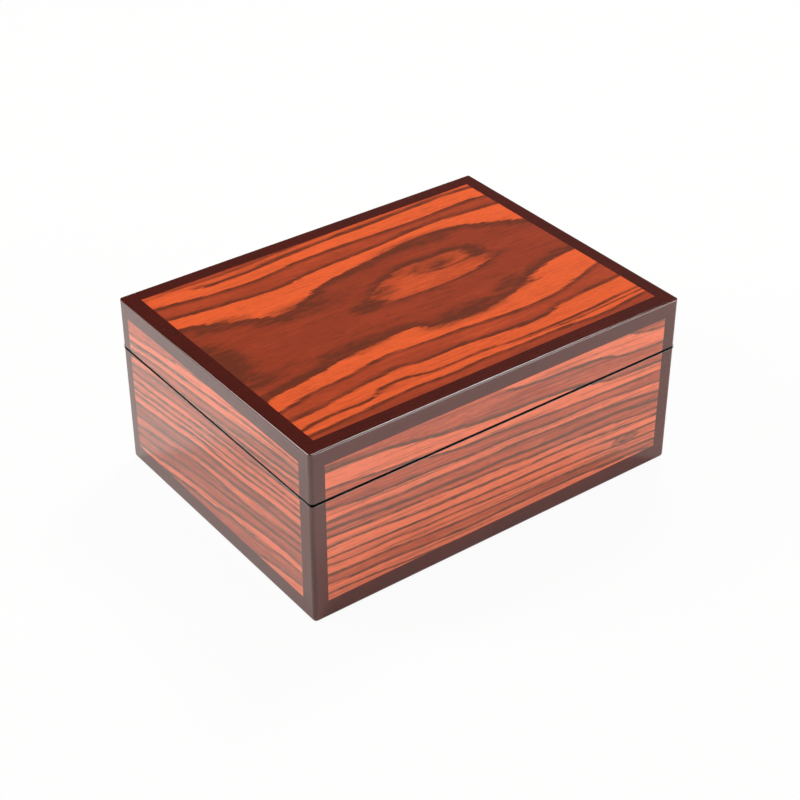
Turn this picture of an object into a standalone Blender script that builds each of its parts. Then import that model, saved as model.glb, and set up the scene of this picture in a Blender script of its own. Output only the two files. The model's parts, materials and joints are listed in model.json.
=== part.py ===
"""Veneered keepsake box: a case and a lift-up lid on two stop hinges.

Metres, +Z up. The box stands on z = 0 with the z axis through its middle and its front towards -Y.
The lid swings about the hinge pins, which lie behind the back wall at the height of the seam.
"""

import math

import bmesh
import bpy
from mathutils import Matrix, Vector

# The whole box
LENGTH = 0.203
WIDTH = 0.1528
CASE_HEIGHT = 0.0879
LID_HEIGHT = 0.0256
SEAM_GAP = 0.0010
WALL = 0.010
CORNER_RADIUS = 0.002
JOINT_GAP = 0.0003
CUT_OVERRUN = 0.002
NEAR = 0.000003

# Top and bottom boards, which cover the walls' ends
TOP_BOARD = 0.0065
BOTTOM_BOARD = 0.0065
TOP_ARRIS = 0.0008
BOTTOM_ARRIS = 0.0018
SEAM_ARRIS = 0.00025

# Veneer fields, let in flush with the lacquered boards round them
VENEER = 0.0006
TOP_BORDER_FRONT = 0.0080
TOP_BORDER_BACK = 0.0078
TOP_BORDER_LEFT = 0.0074
TOP_BORDER_RIGHT = 0.0075
FRONT_BORDER_LEFT = 0.0072
FRONT_BORDER_RIGHT = 0.0078
LEFT_BORDER_REAR = 0.0070
LEFT_BORDER_FRONT = 0.0084
HIDDEN_BORDER = 0.0075
FIELD_LEDGE_TOP = 0.0009
FIELD_LEDGE_BOTTOM = 0.0026

# Cloth-covered lining boards and pads
LINING = 0.0018
LINING_DROP = 0.0010
LINING_ROUND = 0.0005
FLOOR_PAD = 0.0040
LID_PAD = 0.0050
PAD_ROUND = 0.0014
FELT = 0.0012
FELT_PROUD = 0.0005
FELT_MARGIN = 0.0060

# Stop hinges, let into the rims of the two back walls
HINGE_LENGTH = 0.025
HINGE_END_INSET = 0.032
HINGE_PROUD = 0.0015
LEAF = 0.0030
LEAF_LAND = 0.0020
KNUCKLE_RADIUS = 0.0030
KNUCKLE_GAP = 0.0003
PIN_RADIUS = 0.0010
PIN_CLEARANCE = 0.0001
PIN_EASE = 0.0002
STOP_ANGLE = math.radians(95.0)
STOP_CLEARANCE = 0.0001
MIDDLE_KNUCKLE_SHARE = 0.5

# Countersunk screws, two in each leaf
SCREW_LENGTH = 0.010
SCREW_RADIUS = 0.0010
SCREW_POINT = 0.0020
SCREW_HEAD_RADIUS = 0.0020
SCREW_HEAD_EDGE = 0.0002
SCREW_SINK = 0.0001
SCREW_SLOT_WIDTH = 0.0006
SCREW_SLOT_DEPTH = 0.0005
SCREW_END_INSET = 0.0055

# How finely round shapes are cut
CORNER_STEPS = 4
ARRIS_STEPS = 3
FINE_ARRIS_STEPS = 2
KNUCKLE_SIDES = 32
SMALL_SIDES = 20
SHARP_ANGLE = math.radians(35.0)
FLAT_ANGLE = math.radians(1.0)

# Heights worked out from the sizes above
CASE_BASE = FELT_PROUD
BOX_TOP = CASE_BASE + CASE_HEIGHT
SEAM_HEIGHT = BOX_TOP - LID_HEIGHT
CASE_RIM = SEAM_HEIGHT - SEAM_GAP / 2
LID_RIM = SEAM_HEIGHT + SEAM_GAP / 2
FLOOR = CASE_BASE + BOTTOM_BOARD
CEILING = BOX_TOP - TOP_BOARD
CASE_WALL_FOOT = FLOOR + JOINT_GAP
LID_WALL_HEAD = CEILING - JOINT_GAP

# Hinge places worked out from the sizes above
HINGE_AXIS = Vector((0, WIDTH / 2 + HINGE_PROUD, SEAM_HEIGHT))
HINGE_CENTRES = {
    "left": -(LENGTH / 2 - HINGE_END_INSET - HINGE_LENGTH / 2),
    "right": LENGTH / 2 - HINGE_END_INSET - HINGE_LENGTH / 2,
}
LEAF_FACE = SEAM_GAP / 2
LEAF_BACK = LEAF_FACE + LEAF
LEAF_REACH = HINGE_PROUD + WALL - LEAF_LAND
SCREW_REACH = (LEAF_REACH + KNUCKLE_RADIUS + KNUCKLE_GAP) / 2

# Each side's turn about z, its length, the box's depth across it, and the borders left and right
# of its veneer as seen from outside
SIDES = {
    "front": (0, LENGTH, WIDTH, FRONT_BORDER_LEFT, FRONT_BORDER_RIGHT),
    "right": (math.pi / 2, WIDTH, LENGTH, HIDDEN_BORDER, HIDDEN_BORDER),
    "back": (math.pi, LENGTH, WIDTH, HIDDEN_BORDER, HIDDEN_BORDER),
    "left": (-math.pi / 2, WIDTH, LENGTH, LEFT_BORDER_REAR, LEFT_BORDER_FRONT),
}

# The foot and head of the walls and linings of each half, and which way its rim at the seam faces
WALL_RUNS = {"case": (CASE_WALL_FOOT, CASE_RIM), "lid": (LID_RIM, LID_WALL_HEAD)}
LINING_RUNS = {
    "case": (CASE_WALL_FOOT, CASE_RIM - LINING_DROP),
    "lid": (LID_RIM + LINING_DROP, LID_WALL_HEAD),
}
RIM_FACES = {"case": 1, "lid": -1}

# Finishes: base colour, roughness, metallic
FINISHES = {
    "dark_lacquer": ((0.060, 0.012, 0.009), 0.12, 0.0),
    "veneer": ((0.560, 0.085, 0.028), 0.12, 0.0),
    "lining_cloth": ((0.620, 0.500, 0.360), 0.90, 0.0),
    "felt": ((0.030, 0.022, 0.018), 0.95, 0.0),
    "brass": ((0.780, 0.560, 0.250), 0.28, 1.0),
}


# Scene, collections and finishes

def clear_scene():
    for obj in list(bpy.data.objects):
        bpy.data.objects.remove(obj)


def new_collection(name):
    collection = bpy.data.collections.new(name)
    bpy.context.scene.collection.children.link(collection)
    return collection


def make_finish(name):
    colour, roughness, metallic = FINISHES[name]
    material = bpy.data.materials.new(name)
    material.use_nodes = True
    shader = material.node_tree.nodes["Principled BSDF"]
    shader.inputs["Base Color"].default_value = (*colour, 1.0)
    shader.inputs["Roughness"].default_value = roughness
    shader.inputs["Metallic"].default_value = metallic
    return material


clear_scene()
PARTS = new_collection("keepsake_box")
CUTTERS = new_collection("cutters")
MATERIALS = {name: make_finish(name) for name in FINISHES}


def add_part(name, mesh, finish, centre=(0, 0, 0)):
    """A named piece with its finish, its origin at the given place."""
    obj = bpy.data.objects.new(name, mesh)
    PARTS.objects.link(obj)
    mesh.materials.clear()
    mesh.materials.append(MATERIALS[finish])
    obj.location = centre
    return obj


def add_cutter(name, mesh, centre=(0, 0, 0)):
    """A shape that only cuts or completes other pieces."""
    obj = bpy.data.objects.new(name, mesh)
    CUTTERS.objects.link(obj)
    obj.hide_render = True
    obj.display_type = "WIRE"
    obj.location = centre
    return obj


# Meshes

def block_mesh(name, size):
    """A box of the given size about its own centre."""
    bm = bmesh.new()
    bmesh.ops.create_cube(bm, size=1.0, matrix=Matrix.Diagonal((*size, 1.0)))
    mesh = bpy.data.meshes.new(name)
    bm.to_mesh(mesh)
    bm.free()
    return mesh


def cylinder_mesh(name, radius, length, sides):
    """A cylinder along its own z axis about its centre."""
    bm = bmesh.new()
    bmesh.ops.create_cone(bm, cap_ends=True, segments=sides, depth=length, radius1=radius, radius2=radius)
    mesh = bpy.data.meshes.new(name)
    bm.to_mesh(mesh)
    bm.free()
    return mesh


def outline_mesh(name, points, thickness):
    """A flat outline given a thickness, centred on its own plane, with one face at each end."""
    curve = bpy.data.curves.new(name, "CURVE")
    curve.dimensions = "2D"
    curve.fill_mode = "BOTH"
    curve.extrude = thickness / 2
    spline = curve.splines.new("POLY")
    spline.points.add(len(points) - 1)
    for point, place in zip(spline.points, points):
        point.co = (*place, 0, 1)
    spline.use_cyclic_u = True
    drawn = bpy.data.objects.new(name, curve)
    PARTS.objects.link(drawn)
    graph = bpy.context.evaluated_depsgraph_get()
    mesh = bpy.data.meshes.new_from_object(drawn.evaluated_get(graph))
    bpy.data.objects.remove(drawn)
    bpy.data.curves.remove(curve)
    bm = bmesh.new()
    bm.from_mesh(mesh)
    bmesh.ops.remove_doubles(bm, verts=bm.verts, dist=NEAR)
    bmesh.ops.dissolve_limit(bm, angle_limit=FLAT_ANGLE, verts=bm.verts, edges=bm.edges)
    bmesh.ops.recalc_face_normals(bm, faces=bm.faces)
    bm.to_mesh(mesh)
    bm.free()
    mesh.name = name
    return mesh


def arc(centre, radius, start, end, steps):
    """Points on an arc from one angle to another, both ends included."""
    places = []
    for step in range(steps + 1):
        angle = start + (end - start) * step / steps
        places.append((centre[0] + radius * math.cos(angle), centre[1] + radius * math.sin(angle)))
    return places


def board_outline(length, width):
    """A rectangle with rounded corners, anticlockwise."""
    across = length / 2 - CORNER_RADIUS
    along = width / 2 - CORNER_RADIUS
    quarter = math.pi / 2
    corners = [(across, -along), (across, along), (-across, along), (-across, -along)]
    points = []
    for number, corner in enumerate(corners):
        start = (number - 1) * quarter
        points += arc(corner, CORNER_RADIUS, start, start + quarter, CORNER_STEPS)
    return points


def mitred_outline(span):
    """A wall in plan with its outer face on y = 0: mitred ends and half of each rounded corner."""
    set_back = JOINT_GAP / math.sqrt(2)
    mitre_angle = math.pi / 4 + math.asin(JOINT_GAP / (2 * CORNER_RADIUS))
    outer = span / 2 - CORNER_RADIUS
    inner = span / 2 - WALL - set_back
    quarter = math.pi / 2
    right = arc((outer, CORNER_RADIUS), CORNER_RADIUS, -quarter, -mitre_angle, CORNER_STEPS // 2)
    left = [(-across, inward) for across, inward in reversed(right)]
    return left + right + [(inner, WALL), (-inner, WALL)]


def turned_mesh(name, profile, sides):
    """A profile of (radius, height), running down its outer side, turned about z."""
    mesh = bpy.data.meshes.new(name)
    bm = bmesh.new()
    verts = [bm.verts.new((radius, 0, height)) for radius, height in profile]
    for first, second in zip(verts, verts[1:]):
        bm.edges.new((first, second))
    bm.to_mesh(mesh)
    bm.free()
    drawn = bpy.data.objects.new(name, mesh)
    PARTS.objects.link(drawn)
    screw = drawn.modifiers.new("turn", "SCREW")
    screw.steps = sides
    screw.render_steps = sides
    screw.use_merge_vertices = True
    screw.merge_threshold = NEAR
    graph = bpy.context.evaluated_depsgraph_get()
    turned = bpy.data.meshes.new_from_object(drawn.evaluated_get(graph))
    bpy.data.objects.remove(drawn)
    bpy.data.meshes.remove(mesh)
    turned.name = name
    return turned


# Finishing touches on a piece

def mark_arris(mesh, wanted):
    """Marks for rounding each edge whose two ends both pass the test."""
    weights = mesh.attributes.new("bevel_weight_edge", "FLOAT", "EDGE")
    for edge in mesh.edges:
        ends = [mesh.vertices[index].co for index in edge.vertices]
        weights.data[edge.index].value = float(all(wanted(end) for end in ends))


def round_marked(obj, width, steps):
    bevel = obj.modifiers.new("arris", "BEVEL")
    bevel.limit_method = "WEIGHT"
    bevel.width = width
    bevel.segments = steps


def round_all(obj, width, steps):
    bevel = obj.modifiers.new("round", "BEVEL")
    bevel.limit_method = "ANGLE"
    bevel.width = width
    bevel.segments = steps


def cut(obj, cutter):
    boolean = obj.modifiers.new(cutter.name, "BOOLEAN")
    boolean.operation = "DIFFERENCE"
    boolean.object = cutter


def join(obj, other):
    boolean = obj.modifiers.new(other.name, "BOOLEAN")
    boolean.operation = "UNION"
    boolean.object = other


def smooth(obj):
    obj.data.shade_smooth()
    obj.data.set_sharp_from_angle(angle=SHARP_ANGLE)


# Boards and walls

def make_board(name, foot, thickness, arris, rounded_height):
    """A full-size board with one rounded long arris, at its top or its foot."""
    mesh = outline_mesh(name, board_outline(LENGTH, WIDTH), thickness)
    mark_arris(mesh, lambda place: abs(place.z - rounded_height) < NEAR)
    board = add_part(name, mesh, "dark_lacquer", (0, 0, foot + thickness / 2))
    round_marked(board, arris, ARRIS_STEPS)
    return board


def make_top_board():
    board = make_board("lid_top_board", CEILING, TOP_BOARD, TOP_ARRIS, TOP_BOARD / 2)
    low, high = top_field()
    pocket = pocket_box(low, high, BOX_TOP - VENEER - JOINT_GAP, BOX_TOP + CUT_OVERRUN)
    cut(board, add_cutter("lid_top_pocket", *pocket))
    return board


def make_bottom_board():
    board = make_board("case_bottom_board", CASE_BASE, BOTTOM_BOARD, BOTTOM_ARRIS, -BOTTOM_BOARD / 2)
    depth = FELT - FELT_PROUD + JOINT_GAP
    low = Vector((-LENGTH / 2 + FELT_MARGIN, -WIDTH / 2 + FELT_MARGIN))
    pocket = pocket_box(low, -low, CASE_BASE - CUT_OVERRUN, CASE_BASE + depth)
    cut(board, add_cutter("felt_pocket", *pocket))
    return board


def pocket_box(low, high, foot, head):
    """A cutter's mesh and place for a plan area, let out by the joint gap all round."""
    size = (high.x - low.x + 2 * JOINT_GAP, high.y - low.y + 2 * JOINT_GAP, head - foot)
    centre = ((low.x + high.x) / 2, (low.y + high.y) / 2, (foot + head) / 2)
    return block_mesh("pocket", size), centre


def top_field():
    """The plan corners of the veneer on the lid's top."""
    low = Vector((-LENGTH / 2 + TOP_BORDER_LEFT, -WIDTH / 2 + TOP_BORDER_FRONT))
    high = Vector((LENGTH / 2 - TOP_BORDER_RIGHT, WIDTH / 2 - TOP_BORDER_BACK))
    return low, high


def stand(obj, side_name, height, set_in, slide=0.0):
    """Turns a piece to face out of its side and stands it there.

    set_in is how far its middle lies inside the outer face, slide how far right it is from outside.
    """
    turn, _, depth, _, _ = SIDES[side_name]
    place = Vector((slide, set_in - depth / 2, height))
    obj.location = Matrix.Rotation(turn, 4, "Z") @ place
    obj.rotation_euler.z = turn


def side_field(part, side_name):
    """A side veneer's length, its foot and head, and how far right of the wall's middle it lies."""
    _, span, _, left, right = SIDES[side_name]
    foot, head = WALL_RUNS[part]
    if RIM_FACES[part] > 0:
        foot += FIELD_LEDGE_BOTTOM
    else:
        head -= FIELD_LEDGE_TOP
    return span - left - right, foot, head, (left - right) / 2


def mark_rim(mesh, part, height, middle):
    """Marks the edges at the seam that lie outside the middle of the piece's thickness."""
    rim = RIM_FACES[part] * height / 2
    mark_arris(mesh, lambda place: abs(place.z - rim) < NEAR and place.y < middle)


def make_wall(part, side_name):
    """One mitred wall with the pocket for its veneer, which runs out at the rim."""
    name = f"{part}_{side_name}_wall"
    foot, head = WALL_RUNS[part]
    mesh = outline_mesh(name, mitred_outline(SIDES[side_name][1]), head - foot)
    mark_rim(mesh, part, head - foot, WALL / 2)
    wall = add_part(name, mesh, "dark_lacquer")
    stand(wall, side_name, (foot + head) / 2, 0)
    round_marked(wall, SEAM_ARRIS, FINE_ARRIS_STEPS)
    cut(wall, make_side_pocket(part, side_name))
    return wall


def make_side_pocket(part, side_name):
    length, foot, head, slide = side_field(part, side_name)
    if RIM_FACES[part] > 0:
        foot, head = foot - JOINT_GAP, head + CUT_OVERRUN
    else:
        foot, head = foot - CUT_OVERRUN, head + JOINT_GAP
    depth = VENEER + JOINT_GAP
    size = (length + 2 * JOINT_GAP, depth + CUT_OVERRUN, head - foot)
    pocket = add_cutter(f"{part}_{side_name}_pocket", block_mesh("pocket", size))
    stand(pocket, side_name, (foot + head) / 2, (depth - CUT_OVERRUN) / 2, slide)
    return pocket


def make_side_veneer(part, side_name):
    name = f"{part}_{side_name}_veneer"
    length, foot, head, slide = side_field(part, side_name)
    mesh = block_mesh(name, (length, VENEER, head - foot))
    mark_rim(mesh, part, head - foot, 0)
    veneer = add_part(name, mesh, "veneer")
    stand(veneer, side_name, (foot + head) / 2, VENEER / 2, slide)
    round_marked(veneer, SEAM_ARRIS, FINE_ARRIS_STEPS)
    return veneer


def make_top_veneer():
    low, high = top_field()
    mesh = block_mesh("lid_top_veneer", (high.x - low.x, high.y - low.y, VENEER))
    centre = ((low.x + high.x) / 2, (low.y + high.y) / 2, BOX_TOP - VENEER / 2)
    return add_part("lid_top_veneer", mesh, "veneer", centre)


# Cloth-covered pieces

def make_lining(part, side_name):
    """A lining board inside one wall. The front and back ones run the full inner length."""
    name = f"{part}_{side_name}_lining"
    foot, head = LINING_RUNS[part]
    length = SIDES[side_name][1] - 2 * (WALL + JOINT_GAP)
    if side_name in ("left", "right"):
        length -= 2 * (LINING + JOINT_GAP)
    board = add_part(name, block_mesh(name, (length, LINING, head - foot)), "lining_cloth")
    stand(board, side_name, (foot + head) / 2, WALL + JOINT_GAP + LINING / 2)
    round_all(board, LINING_ROUND, FINE_ARRIS_STEPS)
    return board


def make_pad(name, foot, thickness):
    """A soft pad that fills the plan area inside the lining boards."""
    inset = WALL + JOINT_GAP + LINING + JOINT_GAP
    mesh = block_mesh(name, (LENGTH - 2 * inset, WIDTH - 2 * inset, thickness))
    pad = add_part(name, mesh, "lining_cloth", (0, 0, foot + thickness / 2))
    round_all(pad, PAD_ROUND, ARRIS_STEPS)
    return pad


def make_felt():
    name = "case_underside_felt"
    size = (LENGTH - 2 * FELT_MARGIN, WIDTH - 2 * FELT_MARGIN, FELT)
    return add_part(name, block_mesh(name, size), "felt", (0, 0, FELT / 2))


# Hinges

def leaf_outline():
    """A leaf from its end, the pin at the origin: y is out of the back wall, z is down into the rim.

    Behind the pin the leaf ends in a slope. The two leaves' slopes meet when the lid is at its stop.
    """
    slope = STOP_ANGLE / 2
    shift = STOP_CLEARANCE / 2 / math.sin(slope)
    meet = LEAF_BACK / math.tan(slope) - shift
    face_end = LEAF_FACE / math.tan(slope) - shift
    return [(-LEAF_REACH, LEAF_FACE), (-LEAF_REACH, LEAF_BACK), (meet, LEAF_BACK), (face_end, LEAF_FACE)]


def knuckle_spans(leaf):
    """Where the leaf's own knuckles start and end along the pin, as (start, end) from its middle."""
    half = HINGE_LENGTH / 2
    middle = half * MIDDLE_KNUCKLE_SHARE
    if leaf == "upper":
        return [(-middle, middle)]
    return [(-half, -middle - KNUCKLE_GAP), (middle + KNUCKLE_GAP, half)]


def clearance_spans(leaf):
    """Where the leaf is cut back to let the other leaf's knuckles turn."""
    half = HINGE_LENGTH / 2
    middle = half * MIDDLE_KNUCKLE_SHARE
    if leaf == "lower":
        return [(-middle - KNUCKLE_GAP, middle + KNUCKLE_GAP)]
    return [(-half - CUT_OVERRUN, -middle), (middle, half + CUT_OVERRUN)]


def along_pin(name, radius, span, centre, sides):
    """A helper cylinder about the pin's line, over one stretch of it."""
    start, end = span
    helper = add_cutter(name, cylinder_mesh(name, radius, end - start, sides), centre)
    helper.location = centre + Vector(((start + end) / 2, 0, 0))
    helper.rotation_euler.y = math.pi / 2
    return helper


def screw_places(centre):
    """The two screws' places in plan, along the leaf's middle."""
    reach = HINGE_LENGTH / 2 - SCREW_END_INSET
    return [Vector((centre.x + turn * reach, centre.y - SCREW_REACH, centre.z)) for turn in (-1, 1)]


def make_leaf(side, leaf, centre):
    """One hinge leaf: plate and stop, knuckles, a bore for the pin and two countersunk holes."""
    name = f"hinge_{side}_{leaf}_leaf"
    down = -1 if leaf == "lower" else 1
    points = [(across, down * along) for across, along in leaf_outline()]
    plate = add_part(name, outline_mesh(name, points, HINGE_LENGTH), "brass", centre)
    plate.rotation_euler = (math.pi / 2, 0, math.pi / 2)
    room = KNUCKLE_RADIUS + KNUCKLE_GAP
    for number, span in enumerate(clearance_spans(leaf)):
        cut(plate, along_pin(f"{name}_clearance_{number}", room, span, centre, KNUCKLE_SIDES))
    for number, span in enumerate(knuckle_spans(leaf)):
        join(plate, along_pin(f"{name}_knuckle_{number}", KNUCKLE_RADIUS, span, centre, KNUCKLE_SIDES))
    reach = HINGE_LENGTH / 2 + CUT_OVERRUN
    bore_radius = PIN_RADIUS + PIN_CLEARANCE
    cut(plate, along_pin(f"{name}_bore", bore_radius, (-reach, reach), centre, SMALL_SIDES))
    for number, place in enumerate(screw_places(centre)):
        mesh = turned_mesh("screw_hole", hole_profile(), SMALL_SIDES)
        hole = add_cutter(f"{name}_hole_{number}", mesh, place)
        hole.location.z += down * LEAF_FACE
        hole.rotation_euler.x = math.pi if leaf == "upper" else 0
        cut(plate, hole)
    smooth(plate)
    return plate


def make_pin(side, centre):
    """The hinge pin, its ends eased."""
    name = f"hinge_{side}_pin"
    half = HINGE_LENGTH / 2
    top = [(0, half), (PIN_RADIUS - PIN_EASE, half), (PIN_RADIUS, half - PIN_EASE)]
    profile = top + [(radius, -height) for radius, height in reversed(top)]
    pin = add_part(name, turned_mesh(name, profile, SMALL_SIDES), "brass", centre)
    pin.rotation_euler.y = math.pi / 2
    smooth(pin)
    return pin


def screw_profile():
    """A countersunk screw from the top of its head, at z = 0, down to its point."""
    cone_foot = SCREW_HEAD_EDGE + SCREW_HEAD_RADIUS - SCREW_RADIUS
    return [
        (0, 0),
        (SCREW_HEAD_RADIUS, 0),
        (SCREW_HEAD_RADIUS, -SCREW_HEAD_EDGE),
        (SCREW_RADIUS, -cone_foot),
        (SCREW_RADIUS, -SCREW_LENGTH + SCREW_POINT),
        (0, -SCREW_LENGTH),
    ]


def hole_profile():
    """The countersunk hole for that screw, wider by the joint gap and open at both ends."""
    cone_foot = SCREW_SINK + SCREW_HEAD_EDGE + SCREW_HEAD_RADIUS - SCREW_RADIUS
    wide = SCREW_HEAD_RADIUS + JOINT_GAP
    return [
        (0, CUT_OVERRUN),
        (wide, CUT_OVERRUN),
        (wide, -SCREW_SINK - SCREW_HEAD_EDGE),
        (SCREW_RADIUS + JOINT_GAP, -cone_foot),
        (SCREW_RADIUS + JOINT_GAP, -SCREW_SINK - SCREW_LENGTH - JOINT_GAP),
        (0, -SCREW_SINK - SCREW_LENGTH - JOINT_GAP),
    ]


def make_screw(name, place, leaf):
    """One screw, its head sunk just below the leaf's face, with a straight slot."""
    down = -1 if leaf == "lower" else 1
    screw = add_part(name, turned_mesh(name, screw_profile(), SMALL_SIDES), "brass", place)
    screw.location.z += down * (LEAF_FACE + SCREW_SINK)
    screw.rotation_euler.x = math.pi if leaf == "upper" else 0
    slot_size = (2 * (SCREW_HEAD_RADIUS + CUT_OVERRUN), SCREW_SLOT_WIDTH, 2 * SCREW_SLOT_DEPTH)
    slot = add_cutter(f"{name}_slot", block_mesh("slot", slot_size), screw.location.copy())
    cut(screw, slot)
    smooth(screw)
    return screw


def make_mortise(side, leaf, centre):
    """The cutter for a leaf's bed in the rim, open to the back and to the seam."""
    down = -1 if leaf == "lower" else 1
    depth = LEAF_BACK + JOINT_GAP + CUT_OVERRUN
    width = LEAF_REACH + JOINT_GAP + HINGE_PROUD + CUT_OVERRUN
    size = (HINGE_LENGTH + 2 * JOINT_GAP, width, depth)
    place = centre + Vector((0, HINGE_PROUD + CUT_OVERRUN - width / 2, down * (depth / 2 - CUT_OVERRUN)))
    return add_cutter(f"hinge_{side}_{leaf}_bed", block_mesh("bed", size), place)


def make_pilot(name, place, leaf):
    """The cutter for a screw's hole in the wall under the leaf."""
    down = -1 if leaf == "lower" else 1
    length = SCREW_LENGTH + SCREW_SINK + JOINT_GAP + LEAF_FACE
    pilot = add_cutter(name, cylinder_mesh(name, SCREW_RADIUS + JOINT_GAP, length, SMALL_SIDES), place)
    pilot.location.z += down * length / 2
    return pilot


def fit_hinge(side, pieces):
    """A hinge with its pin and screws, and its beds and pilot holes in the two back walls."""
    centre = HINGE_AXIS + Vector((HINGE_CENTRES[side], 0, 0))
    pieces["case"].append(make_pin(side, centre))
    for leaf, part in (("lower", "case"), ("upper", "lid")):
        pieces[part].append(make_leaf(side, leaf, centre))
        wall = bpy.data.objects[f"{part}_back_wall"]
        veneer = bpy.data.objects[f"{part}_back_veneer"]
        bed = make_mortise(side, leaf, centre)
        cut(wall, bed)
        cut(veneer, bed)
        for number, place in enumerate(screw_places(centre), start=1):
            name = f"hinge_{side}_{leaf}_screw_{number}"
            cut(wall, make_pilot(f"{name}_pilot", place, leaf))
            pieces[part].append(make_screw(name, place, leaf))


# The whole box

def hang_on(pivot, pieces):
    """Parents pieces to an empty and keeps them in place."""
    for piece in pieces:
        piece.parent = pivot
        piece.location -= pivot.location


def make_pivot(name, place):
    pivot = bpy.data.objects.new(name, None)
    PARTS.objects.link(pivot)
    pivot.location = place
    return pivot


def make_box():
    pieces = {"case": [make_bottom_board()], "lid": [make_top_board(), make_top_veneer()]}
    for part in WALL_RUNS:
        for side_name in SIDES:
            pieces[part].append(make_wall(part, side_name))
            pieces[part].append(make_side_veneer(part, side_name))
            pieces[part].append(make_lining(part, side_name))
    pieces["case"].append(make_pad("case_floor_pad", CASE_WALL_FOOT, FLOOR_PAD))
    pieces["case"].append(make_felt())
    pieces["lid"].append(make_pad("lid_pad", LID_WALL_HEAD - LID_PAD, LID_PAD))
    for side in HINGE_CENTRES:
        fit_hinge(side, pieces)
    hang_on(make_pivot("case_frame", (0, 0, 0)), pieces["case"])
    hang_on(make_pivot("lid_pivot", HINGE_AXIS), pieces["lid"])


make_box()
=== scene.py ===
"""Dresses the veneered keepsake box in its finishes.

The case and the lid are lacquered shells with veneer fields let in flush. Inside are boards and pads
covered in soft cloth, behind are two brass stop hinges with their screws, and felt lies underneath.
Metres, +Z up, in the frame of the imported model. The front faces -Y and the hinges are at the back.
"""

import json
import math
import random
from dataclasses import dataclass

import bmesh
import bpy
from bpy.props import FloatProperty, FloatVectorProperty, IntProperty, PointerProperty
from mathutils import Matrix, Vector

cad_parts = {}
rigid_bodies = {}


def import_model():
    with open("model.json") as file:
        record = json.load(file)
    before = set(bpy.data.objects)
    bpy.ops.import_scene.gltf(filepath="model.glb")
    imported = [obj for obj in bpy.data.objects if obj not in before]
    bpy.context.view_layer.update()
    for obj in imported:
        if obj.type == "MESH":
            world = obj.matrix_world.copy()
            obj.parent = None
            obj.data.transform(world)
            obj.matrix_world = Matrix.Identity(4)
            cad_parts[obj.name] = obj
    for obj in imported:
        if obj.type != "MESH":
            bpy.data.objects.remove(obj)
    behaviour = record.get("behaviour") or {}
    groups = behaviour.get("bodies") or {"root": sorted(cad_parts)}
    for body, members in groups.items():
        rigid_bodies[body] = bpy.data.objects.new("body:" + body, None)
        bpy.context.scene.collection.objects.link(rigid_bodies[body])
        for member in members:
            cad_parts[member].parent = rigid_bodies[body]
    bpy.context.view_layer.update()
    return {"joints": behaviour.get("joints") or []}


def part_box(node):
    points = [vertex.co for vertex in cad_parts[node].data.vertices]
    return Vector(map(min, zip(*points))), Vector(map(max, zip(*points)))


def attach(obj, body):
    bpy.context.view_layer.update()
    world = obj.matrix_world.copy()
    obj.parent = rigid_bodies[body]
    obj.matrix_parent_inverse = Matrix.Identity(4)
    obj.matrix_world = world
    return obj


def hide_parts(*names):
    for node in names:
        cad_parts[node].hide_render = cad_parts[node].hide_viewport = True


for leftover in list(bpy.data.objects):
    bpy.data.objects.remove(leftover)
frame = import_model()

bl_info = {
    "name": "Keepsake Box Finishes",
    "version": (1, 0, 0),
    "blender": (4, 5, 0),
    "location": "View3D > Sidebar > Keepsake Box",
    "description": "Builds the lacquered, veneered and lined pieces of a hinged keepsake box",
    "category": "Add Mesh",
}

MM = 0.001
# How far a cutter runs past the face that it cuts
OVERRUN = 0.002
# Places that are nearer than this are the same
NEAR = 0.000002
# Faces that turn by less than this are shaded as one
FLAT_TURN = math.radians(35)
# Steps of the flare that eases a rim's inner edge
RIM_STEPS = 4
# How far in from both faces the middle of an arris lies, as a share of its radius
ARRIS_MIDDLE = 0.3

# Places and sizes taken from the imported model
BASE_LOW, BASE_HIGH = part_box("case_bottom_board")
TOP_LOW, TOP_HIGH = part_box("lid_top_board")
CASE_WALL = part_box("case_front_wall")
WALL = CASE_WALL[1].y - CASE_WALL[0].y
CASE_RIM = CASE_WALL[1].z
LID_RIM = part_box("lid_front_wall")[0].z
LENGTH = TOP_HIGH.x - TOP_LOW.x
WIDTH = TOP_HIGH.y - TOP_LOW.y
HEIGHT = TOP_HIGH.z - BASE_LOW.z
HINGE_AXIS = Vector(frame["joints"][0]["pos_m"])
STOP_ANGLE = math.radians(frame["joints"][0]["range_deg"][1])
SIDE_NAMES = ("front", "right", "back", "left")
HINGE_SIDES = ("left", "right")

# Small sizes of the hinges and their screws
STOP_PLAY = 0.00007
PIN_PLAY = 0.0001
PIN_DOME = ((0, 0), (0.5, 0.00004), (0.8, 0.00014), (1, 0.0003))
HOLE_PLAY = 0.00015
HOLE_DEPTH = 0.006
HEAD_EDGE = 0.0002
POINT_LENGTH = 0.002
TIP_RADIUS = 0.00005
SLOT_WIDTH = 0.0006
SLOT_DEPTH = 0.0005

# Growth lines of the straight-grained faces, in millimetres: where the first lies, how far past the face
# they go on, from line to line, and the waves of a line
FIRST_LINE = 2.0
LINES_PAST = 4.0
LINE_SPACING = 5.0
SPACING_SHARES = (0.65, 1.5)
WAVE_LENGTH = 38.0
WAVE_HEIGHTS = (0.4, 1.1)
WAVE_ERRORS = (-0.25, 0.25)
LINE_STEPS = 8
# How dark chance may make such a line and how far it fades, and the shades of the bands that follow a
# dark band or a light one
LINE_DEPTHS = (0.45, 0.75)
FADES_BEHIND = (0.6, 1.4)
FADES_BEFORE = (0.6, 1.2)
MIDDLE_SHADE = 0.6
SHADES_AFTER_DARK = (0.85, 0.95, 1.0)
SHADES_AFTER_LIGHT = (0.36, 0.48, 0.9)
# Millimetres over which a growth line comes in at its start and goes at its end
LINE_EASE = 6.0

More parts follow.
